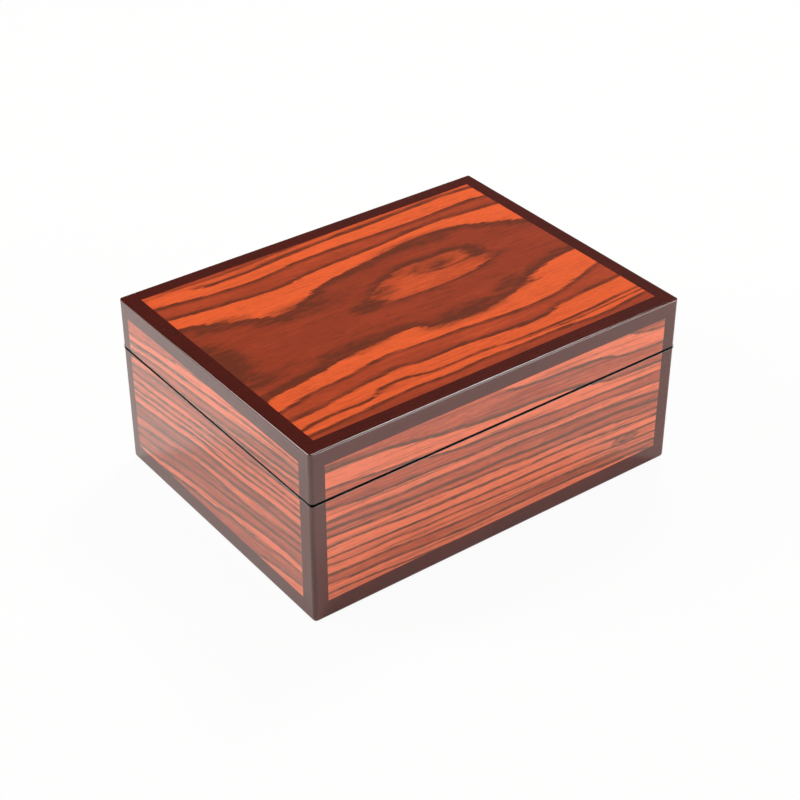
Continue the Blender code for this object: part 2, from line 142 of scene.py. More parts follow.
# Frames in which a pad's cloth swells, and how light and how stiff it is
SWELL_FRAMES = 20
PAD_CLOTH = {"quality": 6, "mass": 0.12, "tension_stiffness": 12, "compression_stiffness": 12,
             "shear_stiffness": 6, "bending_stiffness": 0.6}

# The floor's rings, where its sweep begins, how wide and high that is, and the low wall behind it
FLOOR_RINGS = (0.4, 0.9, 1.6)
FLOOR_EDGE = 2.3
FLOOR_SWEEP = 0.7
SWEEP_STEPS = 8
BACKDROP_TOP = 1.05
BACKDROP_SIDES = 96

BOX_MIDDLE = Vector((0.0, 0.0, 0.04))
CAMERA_PLACE = (-0.42299, -0.56589, 0.51214)
CAMERA_TURN = (0.97452, 0.00018, -0.64281)
CAMERA_LENS = 81.72


@dataclass
class Half:
    """What tells the case from the lid.

    Facing is 1 where the rim faces up and -1 where it faces down, and turn is how far its pad and screws
    are turned over.
    """

    body: str
    leaf: str
    pad: str
    board: str
    floor: float
    rim: float
    facing: int
    turn: float
    pad_seed: float


HALVES = {
    "case": Half("root", "lower", "case_floor_pad", "case_bottom_board", BASE_HIGH.z, CASE_RIM, 1, 0.0, 4.0),
    "lid": Half("lid", "upper", "lid_pad", "lid_top_board", TOP_LOW.z, LID_RIM, -1, math.pi, 9.0),
}


@dataclass
class Face:
    """A face of the box and how its veneer is cut, in millimetres along and across the grain.

    Layer is the depth in the wood that its fibres come from, and slope is how much its fine grain climbs.
    Darkness and widening change its growth lines, reach and waver are how far its fibres pull those lines
    along and across, and fine_lines is how dark the fine lines between them are.
    """

    along: tuple
    across: tuple
    run: float
    depth: float
    layer: float
    slope: float
    darkness: float
    widening: float
    reach: float = 6.0
    waver: float = 0.7
    short_reach: float = 3.0
    short_waver: float = 0.35
    fine_lines: float = 0.75

    def starts(self):
        """What to add to each direction's millimetres so that both begin at the face's corner."""
        corner = Vector((LENGTH / 2, WIDTH / 2, TOP_HIGH.z)) / MM
        return [sum(abs(part) * size for part, size in zip(direction, corner))
                for direction in (self.along, self.across)]


@dataclass
class Growth:
    """A growth line of the veneer, and the shade of the band beyond it.

    Depth is how dark the line is, behind and before how far its dark fades on either side, and soft how
    soft the band's edge is. The course runs through (millimetres along, millimetres across) from the
    face's corner, and the line is dark between start and end.
    """

    band: float
    depth: float
    behind: float
    before: float
    course: list
    start: float = -20.0
    end: float = 999.0
    soft: float = 0.35


@dataclass
class Knot:
    """A ring or a dark patch in the veneer, in millimetres from the face's corner."""

    along: float
    across: float
    half_length: float
    half_height: float
    ring: float
    fill: float


LONG, WIDE, HIGH = LENGTH / MM, WIDTH / MM, HEIGHT / MM
FACES = {
    "top": Face((1, 0, 0), (0, -1, 0), LONG, WIDE, 1.0, slope=0.0, darkness=1.45, widening=1.5, reach=8.0,
                waver=1.1, short_reach=6.0, short_waver=0.6, fine_lines=0.15),
    "front": Face((1, 0, 0), (0, 0, -1), LONG, HIGH, 12.0, slope=-0.035, darkness=1.7, widening=1.25),
    "left": Face((0, -1, 0), (0, 0, -1), WIDE, HIGH, 23.0, slope=0.09, darkness=1.8, widening=1.8),
    "right": Face((0, 1, 0), (0, 0, -1), WIDE, HIGH, 34.0, slope=0.06, darkness=1.6, widening=1.4),
    "back": Face((-1, 0, 0), (0, 0, -1), LONG, HIGH, 45.0, slope=-0.035, darkness=1.6, widening=1.3),
}

TOP_FIGURE = [
    # Back strip's edge
    Growth(0.78, 0.25, 1.6, 0.6, [(7, 6), (27, 10), (54, 11), (81, 9), (108, 8), (135, 6), (196, 5.5)]),
    # Thin line
    Growth(1.0, 0.7, 2.2, 0.8, [(7, 11.5), (29, 13), (34, 15), (42, 16), (54, 16), (81, 14), (108, 12.5),
           (135, 12), (162, 11), (176, 10.5), (196, 12)], start=29),
    # Brown band's back
    Growth(0.42, 0.6, 0.6, 2.4, [(7, 18.5), (14, 19), (27, 21.5), (54, 24), (68, 23), (81, 21.5), (95, 21),
           (108, 21), (149, 22.5), (189, 21.5), (196, 23)]),
    # Brown band's front
    Growth(1.0, 0.7, 2.2, 0.6, [(7, 30.5), (27, 33.5), (41, 35), (54, 36), (68, 36), (81, 34), (95, 33),
           (122, 32), (149, 29.5), (162, 29.5), (176, 31), (196, 32.5)]),
    # Island's back
    Growth(0.14, 0.75, 0.5, 5.0, [(7, 39.5), (15, 41.5), (27, 47.5), (41, 53), (51, 57.5), (57, 56.5),
           (68, 51), (81, 45.5), (95, 43), (115, 40), (135, 37), (156, 37), (169, 40.5), (183, 47),
           (196, 53.5)], soft=0.7),
    # Eye's back
    Growth(0.7, 0.6, 3.6, 0.6, [(0, 77.5), (81, 77.5), (87, 73), (92, 67.5), (100, 62.5), (108, 58.5),
           (116, 56), (126, 55), (135, 56), (146, 56), (154, 58.5), (158, 64.5), (161, 69.5), (165, 71.5),
           (203, 71.5)], start=80, end=163, soft=0.8),
    # Eye's front
    Growth(0.14, 0.5, 0.6, 1.6, [(0, 77.5), (81, 77.5), (95, 77), (115, 78.5), (129, 78.5), (142, 77.5),
           (149, 76), (156, 74), (165, 71.5), (203, 71.5)], start=80, end=165),
    # Island's front
    Growth(1.0, 0.75, 5.0, 0.5, [(7, 111), (14, 109), (27, 107), (41, 105), (54, 102), (68, 101), (93, 101),
           (97, 104), (108, 105.5), (119, 107), (135, 106.5), (143, 105), (152, 102.5), (164, 96),
           (176, 92), (196, 90)], soft=0.7),
    # Tongue
    Growth(1.0, 0.7, 0.9, 0.9, [(135, 105.5), (149, 102.5), (156, 101), (166, 100.5), (196, 99.5)],
           start=149, end=166),
    # Front band's back
    Growth(0.46, 0.5, 0.8, 2.0, [(7, 120), (14, 119), (27, 116), (41, 115), (54, 113.5), (70, 111.5),
           (81, 112.5), (108, 114), (143, 117), (160, 116), (171, 113.5), (180, 111), (196, 106)]),
    # Front band's front
    Growth(0.95, 0.6, 2.2, 0.7, [(7, 128.5), (27, 127.5), (35, 126), (57, 123.5), (68, 122.5), (74, 124),
           (97, 124.5), (108, 125.5), (148, 127), (156, 124), (162, 123.5), (176, 122.5), (196, 121.5)]),
    # Front line
    Growth(0.9, 0.75, 1.0, 0.9, [(7, 136.5), (14, 135.5), (27, 134.5), (45, 134.5), (50, 132), (58, 130.5),
           (68, 131.5), (76, 133.5), (102, 133.5), (122, 135.5), (162, 135.5), (176, 134.5), (196, 133.5)]),
    # Fine line
    Growth(0.9, 0.45, 0.7, 0.7, [(115, 136.5), (135, 137), (156, 138), (176, 137), (196, 136)], start=118),
    # Front strip
    Growth(0.34, 0.6, 0.7, 1.6, [(7, 141), (27, 140.5), (54, 139), (68, 138.5), (81, 139.5), (95, 139),
           (122, 139.5), (149, 140), (162, 141.5), (176, 140.5), (196, 138.5)]),
]
FRONT_FIGURE = [
    Growth(1.0, 0.5, 1.2, 0.6, [(0, 2.5), (169, 5.5), (176, 8.5), (181, 10), (189, 11.5), (196, 12)],
           start=172),
    Growth(0.42, 0.6, 0.6, 1.3, [(0, 2.5), (93, 5.5), (104, 10), (115, 11.5), (149, 13.5), (162, 15.5),
           (169, 17.5), (176, 18.5), (196, 19.5)], start=98),
    Growth(1.0, 0.7, 1.8, 0.6, [(7, 11.5), (20, 12), (35, 13), (54, 15.5), (68, 18), (81, 19.5), (95, 21),
           (135, 23.5), (149, 25.5), (162, 28.5), (176, 29.5), (196, 30.5)]),
    Growth(0.42, 0.6, 0.6, 1.2, [(7, 20), (27, 22), (41, 23.5), (54, 25), (68, 28), (81, 29.5), (95, 30),
           (135, 32.5), (162, 34), (196, 35.5)]),
    Growth(0.95, 0.6, 1.2, 0.6, [(7, 30.5), (18, 32), (27, 33), (54, 34), (68, 34.5), (81, 35.5), (102, 36),
           (135, 38), (162, 38.5), (176, 40), (196, 41.5)]),
    Growth(0.5, 0.7, 0.8, 1.2, [(7, 37), (27, 37.5), (34, 38.5), (68, 39.5), (81, 40), (108, 40.5),
           (135, 41.5), (162, 43), (176, 44.5), (196, 47)]),
    Growth(0.5, 0.75, 1.0, 1.2, [(7, 41), (20, 42), (54, 44.5), (81, 45.5), (108, 46.5), (122, 47.5),
           (162, 48.5), (172, 49), (179, 50), (196, 51.5)]),
    Growth(0.9, 0.6, 1.0, 0.8, [(7, 45), (20, 46), (41, 47.5), (54, 48), (81, 49.5), (102, 50), (111, 51),
           (135, 52), (162, 53.5), (176, 55), (196, 56.5)]),
    Growth(1.0, 0.65, 0.8, 0.8, [(7, 50.5), (27, 51), (54, 53.5), (81, 54.5), (108, 55.5), (135, 56),
           (149, 56.5), (162, 57.5), (196, 60)]),
    Growth(0.85, 0.65, 0.8, 0.8, [(7, 56), (27, 57), (54, 58.5), (81, 59.5), (108, 60.5), (149, 61.5),
           (162, 62.5), (176, 63.5), (196, 64.5)]),
    Growth(0.95, 0.65, 0.8, 0.8, [(7, 59.5), (20, 61), (41, 61.5), (54, 62.5), (81, 63.5), (108, 65),
           (149, 66.5), (176, 68.5), (196, 69.5)]),
    Growth(0.5, 0.6, 0.8, 1.0, [(7, 65), (27, 66), (41, 66.5), (68, 68.5), (95, 69.5), (122, 70), (149, 71),
           (196, 74)]),
    Growth(0.9, 0.6, 1.2, 0.6, [(7, 69.5), (14, 70.5), (41, 72), (54, 73), (81, 74.5), (108, 74.5),
           (149, 75.5), (162, 76.5), (189, 78), (196, 80)]),
    Growth(0.9, 0.6, 0.8, 0.8, [(7, 75), (34, 76), (57, 78), (81, 79.5), (122, 81), (196, 86.5)]),
]
LEFT_FIGURE = [
    Growth(1.0, 0.3, 1.2, 0.5, [(5, 15.5), (14, 15), (27, 13), (41, 11.5), (54, 9), (68, 8), (81, 7),
           (149, 5.5)]),
    Growth(0.95, 0.5, 0.8, 0.8, [(5, 19.5), (14, 19), (27, 17), (54, 15), (81, 12.5), (103, 10.5),
           (129, 9.5), (144, 9.5)]),
    Growth(0.45, 0.5, 0.6, 1.2, [(5, 24), (14, 22.5), (27, 21), (54, 19), (76, 17.5), (95, 16), (108, 14.5),
           (144, 13)]),
    Growth(0.75, 0.5, 1.0, 0.8, [(5, 27.5), (27, 25), (54, 24), (76, 22.5), (95, 20.5), (122, 19),
           (144, 16.5)]),
    Growth(0.45, 0.4, 0.8, 1.0, [(5, 32), (27, 29), (54, 27), (81, 24.5), (122, 22), (144, 20)]),
    Growth(0.9, 0.4, 1.2, 0.6, [(5, 36.5), (27, 35), (54, 32.5), (68, 31.5), (95, 30), (122, 28),
           (144, 26.5)]),
    Growth(0.85, 0.5, 0.8, 0.8, [(5, 40), (47, 37), (58, 35.5), (81, 33.5), (102, 32.5), (144, 30)]),
    Growth(0.9, 0.5, 0.8, 0.8, [(5, 44.5), (14, 44.5), (27, 42.5), (41, 41.5), (61, 39), (95, 37),
           (129, 34), (144, 33)]),
    Growth(0.9, 0.45, 0.8, 0.8, [(5, 47.5), (27, 46), (41, 45), (54, 43), (68, 41.5), (81, 41.5), (102, 40),
           (115, 38.5), (144, 36.5)]),
    Growth(0.3, 0.5, 0.6, 1.4, [(5, 53), (14, 52), (41, 49), (68, 46), (95, 45), (108, 44), (129, 42),
           (144, 41.5)]),
    Growth(0.7, 0.5, 1.0, 0.8, [(5, 61), (27, 57.5), (41, 56), (68, 52), (81, 51), (95, 50), (115, 47.5),
           (144, 46.5)]),
    Growth(0.32, 0.4, 0.6, 1.2, [(5, 66.5), (20, 63.5), (34, 61.5), (54, 57.5), (68, 56), (95, 55.5),
           (108, 54.5), (129, 52), (144, 50.5)]),
    Growth(0.35, 0.45, 0.9, 0.9, [(5, 70.5), (27, 68.5), (54, 64.5), (81, 61), (122, 57), (144, 55)]),
    Growth(1.0, 0.45, 1.4, 0.6, [(5, 77.5), (27, 75), (41, 72.5), (54, 71), (76, 69), (102, 65), (118, 63),
           (135, 62), (144, 62.5)]),
    Growth(0.38, 0.5, 0.6, 1.2, [(5, 82.5), (20, 80), (54, 75), (76, 73), (81, 71.5), (102, 70), (115, 69),
           (129, 66.5), (144, 66)]),
    Growth(0.95, 0.4, 1.4, 0.6, [(68, 86.5), (102, 80), (122, 75.5), (135, 74), (144, 73)]),
]

FIGURE_KNOTS = {
    "top": [
        Knot(140, 61.5, 18, 5.5, 0.65, 0),
        Knot(134, 59.5, 24, 6, 0, 0.55),
        Knot(136, 63.5, 11, 2.2, 0, 1),
        Knot(155.5, 61.5, 6, 7.5, 0, 1.8),
        Knot(162, 71, 8, 2.4, 0, 1.2),
        Knot(87, 74.5, 10, 5, 0, 2),
        Knot(97, 67.5, 12, 5.5, 0, 0.8),
        Knot(112, 58.5, 10, 2.5, 0, 0.8),
        Knot(6, 77, 16, 23, 0, 1.4),
        Knot(14, 96, 16, 6, 0, 0.8),
        Knot(62, 98.5, 24, 6, 0, 1.1),
        Knot(118, 104, 28, 7, 0, 1.1),
        Knot(152, 97, 14, 7, 0, 1),
        Knot(62, 58, 28, 8, 0, 0.8),
        Knot(140, 40, 30, 6, 0, 0.9),
        Knot(24, 48, 18, 5, 0, 0.8),
    ],
    "front": [Knot(176, 66.4, 6.5, 2.7, 1.1, 1.2)],
    "left": [Knot(99, 58.5, 4, 1.8, 0, 0.4), Knot(57, 35.5, 2, 0.8, 0, 0.4)],
    "right": [Knot(44, 51, 6, 2.2, 0.45, 0.3)],
    "back": [Knot(61, 38, 8, 2.6, 0.45, 0.3)],
}


def straight_figure(face, seed):
    """Growth lines of a straight-grained face, the bands' shades and widths varied by the seed."""
    chance = random.Random(seed)
    lines = []
    climb = face.slope * face.run
    across = FIRST_LINE + min(0.0, climb)
    shade = 1.0
    while across < face.depth + max(0.0, -climb) + LINES_PAST:
        wave = chance.uniform(*WAVE_HEIGHTS)
        phase = chance.uniform(0.0, math.tau)
        course = []
        for step in range(LINE_STEPS + 1):
            along = face.run * step / LINE_STEPS
            sway = wave * math.sin(phase + along / WAVE_LENGTH) + chance.uniform(*WAVE_ERRORS)
            course.append((along, across - face.slope * along + sway))
        shade = chance.choice(SHADES_AFTER_DARK if shade < MIDDLE_SHADE else SHADES_AFTER_LIGHT)
        looks = [chance.uniform(*ends) for ends in (LINE_DEPTHS, FADES_BEHIND, FADES_BEFORE)]
        lines.append(Growth(shade, *looks, course))
        across += LINE_SPACING * chance.uniform(*SPACING_SHARES)
    return lines


FIGURES = {
    "top": TOP_FIGURE,
    "front": FRONT_FIGURE,
    "left": LEFT_FIGURE,
    "right": straight_figure(FACES["right"], 7),
    "back": straight_figure(FACES["back"], 19),
}


# Sizes and colours that a user may change

def length(name, description, default):
    return FloatProperty(name=name, description=description, default=default, min=0.0, precision=5,
                         soft_max=0.01, subtype="DISTANCE", unit="LENGTH")


def colour(name, description, default):
    return FloatVectorProperty(name=name, description=description, default=default, min=0.0, max=1.0,
                               size=3, subtype="COLOR")


def share(name, description, default):
    return FloatProperty(name=name, description=description, default=default, min=0.0, max=1.0,
                         subtype="FACTOR")


def watts(name, default):
    return FloatProperty(name=name, description="Power in watts", default=default, min=0.0, unit="POWER")


class KeepsakeShapes(bpy.types.PropertyGroup):
    """Roundings and small sizes of the visible pieces."""

    corner: length("Corner radius", "Radius of the four upright corners", 0.002)
    top_arris: length("Top arris", "Radius of the lid's upper edges", 0.0008)
    foot_arris: length("Foot arris", "Radius of the case's lower edges", 0.0018)
    seam_arris: length("Seam arris", "Radius of the outer edges at the seam", 0.00025)
    rim_arris: length("Rim arris", "Radius of the rims' inner edges", 0.0006)
    bed_gap: length("Bed gap", "Gap round each hinge leaf in the wood", 0.00015)
    brass_arris: length("Brass arris", "Radius of the hinges' edges", 0.00014)
    knuckle_gap: length("Knuckle gap", "Gap between one leaf's knuckles and the other leaf", 0.0003)
    board_round: length("Board rounding", "Rounding of the cloth over a lining board's edges", 0.0005)
    board_crown: length("Board crown", "Swell of the cloth on a lining board", 0.00025)
    board_uneven: length("Board unevenness", "Unevenness of the cloth on a lining board", 0.00016)
    pad_round: length("Pad rounding", "Rounding of a pad's edges before it swells", 0.0016)
    pad_crown: length("Pad crown", "Crown of a pad before it swells", 0.0003)
    pad_uneven: length("Pad unevenness", "Unevenness of a pad before it swells", 0.0003)
    pad_swell: length("Pad swell", "How far a pad's cloth may swell", 0.0012)
    pad_shy: length("Pad margin", "How much smaller a pad starts before it swells", 0.0003)
    pad_press: FloatProperty(name="Pad pressure", description="Pressure inside the swelling pads",
                             default=6.0, min=0.0)
    felt_round: length("Felt rounding", "Rounding of the felt sheet's edges", 0.0003)
    screw_seed: IntProperty(name="Screw seed", description="Chance turn of the screws' slots", default=4)


class KeepsakeFinishes(bpy.types.PropertyGroup):
    """Colours of the wood, lacquer, cloth and brass."""

    light_wood: colour("Light wood", "Lightest bands of the veneer", (0.880, 0.126, 0.029))
    mid_wood: colour("Mid wood", "Middle bands of the veneer", (0.470, 0.062, 0.018))
    deep_wood: colour("Deep wood", "Darkest bands of the veneer", (0.310, 0.041, 0.014))
    side_light_wood: colour("Side light wood", "Lightest bands on the sides", (0.880, 0.186, 0.082))
    side_mid_wood: colour("Side mid wood", "Middle bands on the sides", (0.530, 0.100, 0.044))
    grain_line: colour("Grain line", "Growth lines and pores of the top", (0.150, 0.028, 0.010))
    side_grain_line: colour("Side grain line", "Growth lines and pores of the sides",
                            (0.140, 0.045, 0.020))
    border: colour("Border", "Dark stained wood round the veneer", (0.080, 0.0058, 0.0018))
    border_grain: colour("Border grain", "Fine grain in the dark stained wood", (0.064, 0.0052, 0.0016))
    lining: colour("Lining", "Cloth on the boards and pads", (0.600, 0.490, 0.350))
    # The rims' black is painted shade, so that the seam between the case and the lid reads as a black line
    rim: colour("Rim", "Black stained rims of the case and the lid", (0.006, 0.005, 0.005))
    felt: colour("Felt", "Felt under the case", (0.030, 0.022, 0.018))
    brass: colour("Brass", "Hinges and screws", (0.800, 0.590, 0.280))
    tarnish: colour("Tarnish", "Dull patches on the brass", (0.560, 0.370, 0.150))
    lacquer_gloss: share("Lacquer roughness", "Roughness of the clear lacquer's surface", 0.02)


class KeepsakeStage(bpy.types.PropertyGroup):
    """Floor and lamps."""

    floor: colour("Floor", "Colour of the floor and the curved backdrop", (0.87, 0.83, 0.79))
    room: share("Room", "Grey of the room high above the box", 0.005)
    room_horizon: share("Room horizon", "Grey of the room just over the backdrop", 0.05)
    seen_white: share("Seen white", "Share of plain white in the floor that the camera sees", 0.95)
    mirrored: colour("Mirrored floor", "Colour of the light added to the floor in reflections",
                     (0.84, 0.88, 0.86))
    mirrored_left: share("Mirrored left", "Strength of that light on the box's left", 0.48)
    mirrored_front: share("Mirrored front", "Strength of that light elsewhere", 0.3)
    back_left: watts("Back left lamp", 20.0)
    overhead: watts("Overhead lamp", 9.6)
    front: watts("Front lamp", 18.5)


# Meshes and modifiers

def add_object(name, data):
    obj = bpy.data.objects.new(name, data)
    bpy.context.scene.collection.objects.link(obj)
    return obj


def from_bmesh(name, bm):
    mesh = bpy.data.meshes.new(name)
    bm.to_mesh(mesh)
    bm.free()
    return add_object(name, mesh)


def block(name, low, high):
    """A plain block between two corners, most often a cutter."""
    size = high - low
    middle = (high + low) / 2
    bm = bmesh.new()
    bmesh.ops.create_cube(bm, size=1.0, matrix=Matrix.Translation(middle) @ Matrix.Diagonal((*size, 1.0)))
    return from_bmesh(name, bm)


def skin(name, rings, closed=True):
    """A skin over rings of points, each joined to the next. A ring of one point is a pole.

    Where it is closed, its two ends are filled and its faces turned outwards.
    """
    bm = bmesh.new()
    corners = [[bm.verts.new(point) for point in ring] for ring in rings]
    for first, second in zip(corners, corners[1:]):
        for number in range(max(len(first), len(second))):
            after = number + 1
            around = (first[number % len(first)], first[after % len(first)],
                      second[after % len(second)], second[number % len(second)])
            bm.faces.new(tuple(dict.fromkeys(around)))
    if closed:
        for ring in (corners[0], corners[-1]):
            if len(ring) > 1:
                bm.faces.new(ring)
        bmesh.ops.recalc_face_normals(bm, faces=bm.faces)
    return from_bmesh(name, bm)


def stacked(name, sections):
    """A closed block of rectangles, each (height, half length, half width), stacked on one another."""
    return skin(name, [[(-x, -y, z), (x, -y, z), (x, y, z), (-x, y, z)] for z, x, y in sections])


def turned(name, profile, start=(0, 0, 0), sides=40):
    """A solid turned about a line along +X, its profile (radius, place along) from one end to the other."""
    rings = []
    for radius, place in profile:
        angles = [math.tau * number / sides for number in range(sides if radius > NEAR else 1)]
        rings.append([Vector(start) + Vector((place, radius * math.cos(angle), radius * math.sin(angle)))
                      for angle in angles])
    return skin(name, rings)


def settle(obj):
    """Turns a piece's modifiers into its plain mesh."""
    graph = bpy.context.evaluated_depsgraph_get()
    mesh = bpy.data.meshes.new_from_object(
        obj.evaluated_get(graph), preserve_all_data_layers=True, depsgraph=graph)
    obj.modifiers.clear()
    before = obj.data
    obj.data = mesh
    bpy.data.meshes.remove(before)
    obj.data.name = obj.name
    return obj


def combine(obj, other, operation):
    step = obj.modifiers.new(other.name, "BOOLEAN")
    step.operation = operation
    step.solver = "EXACT"
    step.object = other


def close_slits(obj):
    """Merges the cut edges' doubled corners."""
    obj.modifiers.new("merged corners", "WELD").merge_threshold = NEAR


def discard(*objects):
    for obj in objects:
        bpy.data.objects.remove(obj)


def round_edges(obj, width, steps, by_weight=False):
    bevel = obj.modifiers.new("arris", "BEVEL")
    bevel.limit_method = "WEIGHT" if by_weight else "ANGLE"
    bevel.width = width
    bevel.segments = steps


def even_shading(obj):
    """Smooth arrises beside truly flat faces."""
    obj.data.shade_smooth()
    obj.data.set_sharp_from_angle(angle=FLAT_TURN)
    weighted = obj.modifiers.new("shading", "WEIGHTED_NORMAL")
    weighted.keep_sharp = True
    weighted.weight = 100
    settle(obj)


def deliver(obj, part, slot, finish_name, *nodes):
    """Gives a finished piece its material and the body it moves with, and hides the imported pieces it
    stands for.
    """
    obj.data.materials.clear()
    obj.data.materials.append(bpy.data.materials[finish_name])
    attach(obj, HALVES[part].body)
    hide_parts(*nodes)


# Nodes

NUMBER, WHOLE, VECTOR, COLOUR, GEOMETRY, MATERIAL = (
    f"NodeSocket{kind}" for kind in ("Float", "Int", "Vector", "Color", "Geometry", "Material"))
KINDS_OF_DEFAULTS = {float: NUMBER, int: WHOLE, tuple: VECTOR}
KINDS_OF_OUTPUTS = {"Colour": COLOUR, "Normal": VECTOR, "Geometry": GEOMETRY}


class Signal:
    """What a node puts out. A sum with it adds the maths node that works it out."""

    def __init__(self, tree, socket):
        self.tree = tree
        self.socket = socket
        self.is_vector = socket.type in ("VECTOR", "RGBA")

    def __add__(self, other):
        return reckon("ADD", self, other)

    def __sub__(self, other):
        return reckon("SUBTRACT", self, other)

    def __rsub__(self, other):
        return reckon("SUBTRACT", other, self)

    def __mul__(self, other):
        return reckon("MULTIPLY", self, other)

    def __truediv__(self, other):
        return reckon("DIVIDE", self, other)


class Node:
    """A node: setting node[name] sets or links an input, and reading node[name] gives an output."""

    def __init__(self, tree, kind, inputs=None, **settings):
        self.tree = tree
        self.node = tree.nodes.new(kind)
        for name, value in settings.items():
            setattr(self.node, name, value)
        for key, value in (inputs or {}).items():
            self[key] = value

    def __getitem__(self, key):
        return Signal(self.tree, self.node.outputs[key])

    def __setitem__(self, key, value):
        socket = self.node.inputs[key]
        if isinstance(value, Signal):
            self.tree.links.new(value.socket, socket)
        else:
            socket.default_value = value


def tree_of(values):
    return next(value.tree for value in values if isinstance(value, Signal))


def reckon(operation, *values, **settings):
    """A maths node on the values, or a vector maths node where one of them is a vector."""
    is_vector = any(getattr(value, "is_vector", isinstance(value, tuple)) for value in values)
    kind = "ShaderNodeVectorMath" if is_vector else "ShaderNodeMath"
    node = Node(tree_of(values), kind, dict(enumerate(values)), operation=operation, **settings)
    return node["Vector" if is_vector and operation != "DOT_PRODUCT" else "Value"]


def swing(value, size):
    """Turns a noise of 0 to 1 into one that swings about 0."""
    return (value - 0.5) * size


def map_range(value, ends, **settings):
    names = ("From Min", "From Max", "To Min", "To Max")
    return Node(value.tree, "ShaderNodeMapRange", {"Value": value, **dict(zip(names, ends))}, **settings)[0]


def ease(value, start, end, low=0.0, high=1.0):
    """Goes smoothly from low to high while the value goes from start to end."""
    return map_range(value, (start, end, low, high), interpolation_type="SMOOTHSTEP")


def spread(value, start, end, low=0.0, high=1.0):
    """Goes straight from low to high while the value goes from start to end, and no further."""
    return map_range(value, (start, end, low, high), clamp=True)


def blend_colours(factor, first, second):
    return Node(factor.tree, "ShaderNodeMix", {0: factor, 6: first, 7: second}, data_type="RGBA")[2]


def noise(vector, detail, roughness, scale=1.0):
    inputs = {"Vector": vector, "Scale": scale, "Detail": detail, "Roughness": roughness}
    return Node(vector.tree, "ShaderNodeTexNoise", inputs)


def bump(height, distance, strength=1.0):
    inputs = {"Strength": strength, "Distance": distance, "Height": height}
    return Node(height.tree, "ShaderNodeBump", inputs)[0]


def join_xyz(*parts):
    return Node(tree_of(parts), "ShaderNodeCombineXYZ", dict(enumerate(parts)))[0]


def new_group(name, inputs, outputs, kind="ShaderNodeTree"):
    """A node group with inputs by their defaults or kinds. Returns what it is given and what it makes."""
    tree = bpy.data.node_groups.new(name, kind)
    for label, value in inputs.items():
        sort = KINDS_OF_DEFAULTS.get(type(value))
        socket = tree.interface.new_socket(label, in_out="INPUT", socket_type=sort or value)
        if sort:
            socket.default_value = value
    for label in outputs:
        sort = KINDS_OF_OUTPUTS.get(label, NUMBER)
        tree.interface.new_socket(label, in_out="OUTPUT", socket_type=sort)
    return Node(tree, "NodeGroupInput"), Node(tree, "NodeGroupOutput")


def use_group(tree, name, inputs):
    return Node(tree, "ShaderNodeGroup", inputs, node_tree=bpy.data.node_groups[name])


# Shader groups

def make_face_place_group():
    """Millimetres along and across a face from the piece's own coordinates."""
    given, made = new_group("face place", {
        "Position": (0, 0, 0), "Along Direction": (1, 0, 0), "Across Direction": (0, 1, 0),
        "Along Start": 0.0, "Across Start": 0.0}, ("Along", "Across"))
    for word in ("Along", "Across"):
        metres = reckon("DOT_PRODUCT", given["Position"], given[f"{word} Direction"])
        made[word] = metres * (1 / MM) + given[f"{word} Start"]


def make_fibres_group():
    """Long and short wood fibres: they feather the bands' edges, streak the colour and open into pores."""
    given, made = new_group("wood fibres", {
        "Along": 0.0, "Across": 0.0, "Layer": 0.0, "Slope": 0.0, "Reach": 8.0, "Waver": 1.0,
        "Short Reach": 5.0, "Short Waver": 0.5},
        ("Drift Along", "Drift Across", "Streak", "Fine Lines", "Pores", "Mottle", "Cloud"))
    level = given["Along"] * given["Slope"] + given["Across"]

    def fibres(along, across, offset, detail, roughness=0.6):
        """Noise drawn out along the grain: the scales along and across it, and its place in the wood."""
        place = join_xyz(given["Along"] * along, level * across, given["Layer"] + offset)
        return noise(place, detail, roughness)

    long = Node(given.tree, "ShaderNodeSeparateColor", {0: fibres(0.05, 1.1, 0.0, 4.0)["Color"]})
    short = Node(given.tree, "ShaderNodeSeparateColor", {0: fibres(0.19, 2.1, 31.2, 3.0)["Color"]})
    for word, size, number in (("Along", "Reach", 0), ("Across", "Waver", 1)):
        swings = swing(long[number], given[size]) + swing(short[number], given[f"Short {size}"])
        made[f"Drift {word}"] = swings * 2.0 + given[word]
    streak = swing(fibres(0.03, 1.3, 3.7, 5.0, 0.65)[0], 0.75) + swing(short[2], 0.75) + 0.5
    made["Streak"] = streak
    line = spread(fibres(0.012, 0.75, 21.4, 4.0)[0], 0.52, 0.63)
    made["Fine Lines"] = line * spread(streak, 0.35, 0.6, 0.2)
    made["Pores"] = spread(fibres(0.14, 3.4, 8.1, 2.0)[0], 0.56, 0.70)
    made["Mottle"] = fibres(0.085, 0.42, 12.6, 4.0, 0.7)[0]
    made["Cloud"] = fibres(0.022, 0.11, 15.3, 3.0)[0]


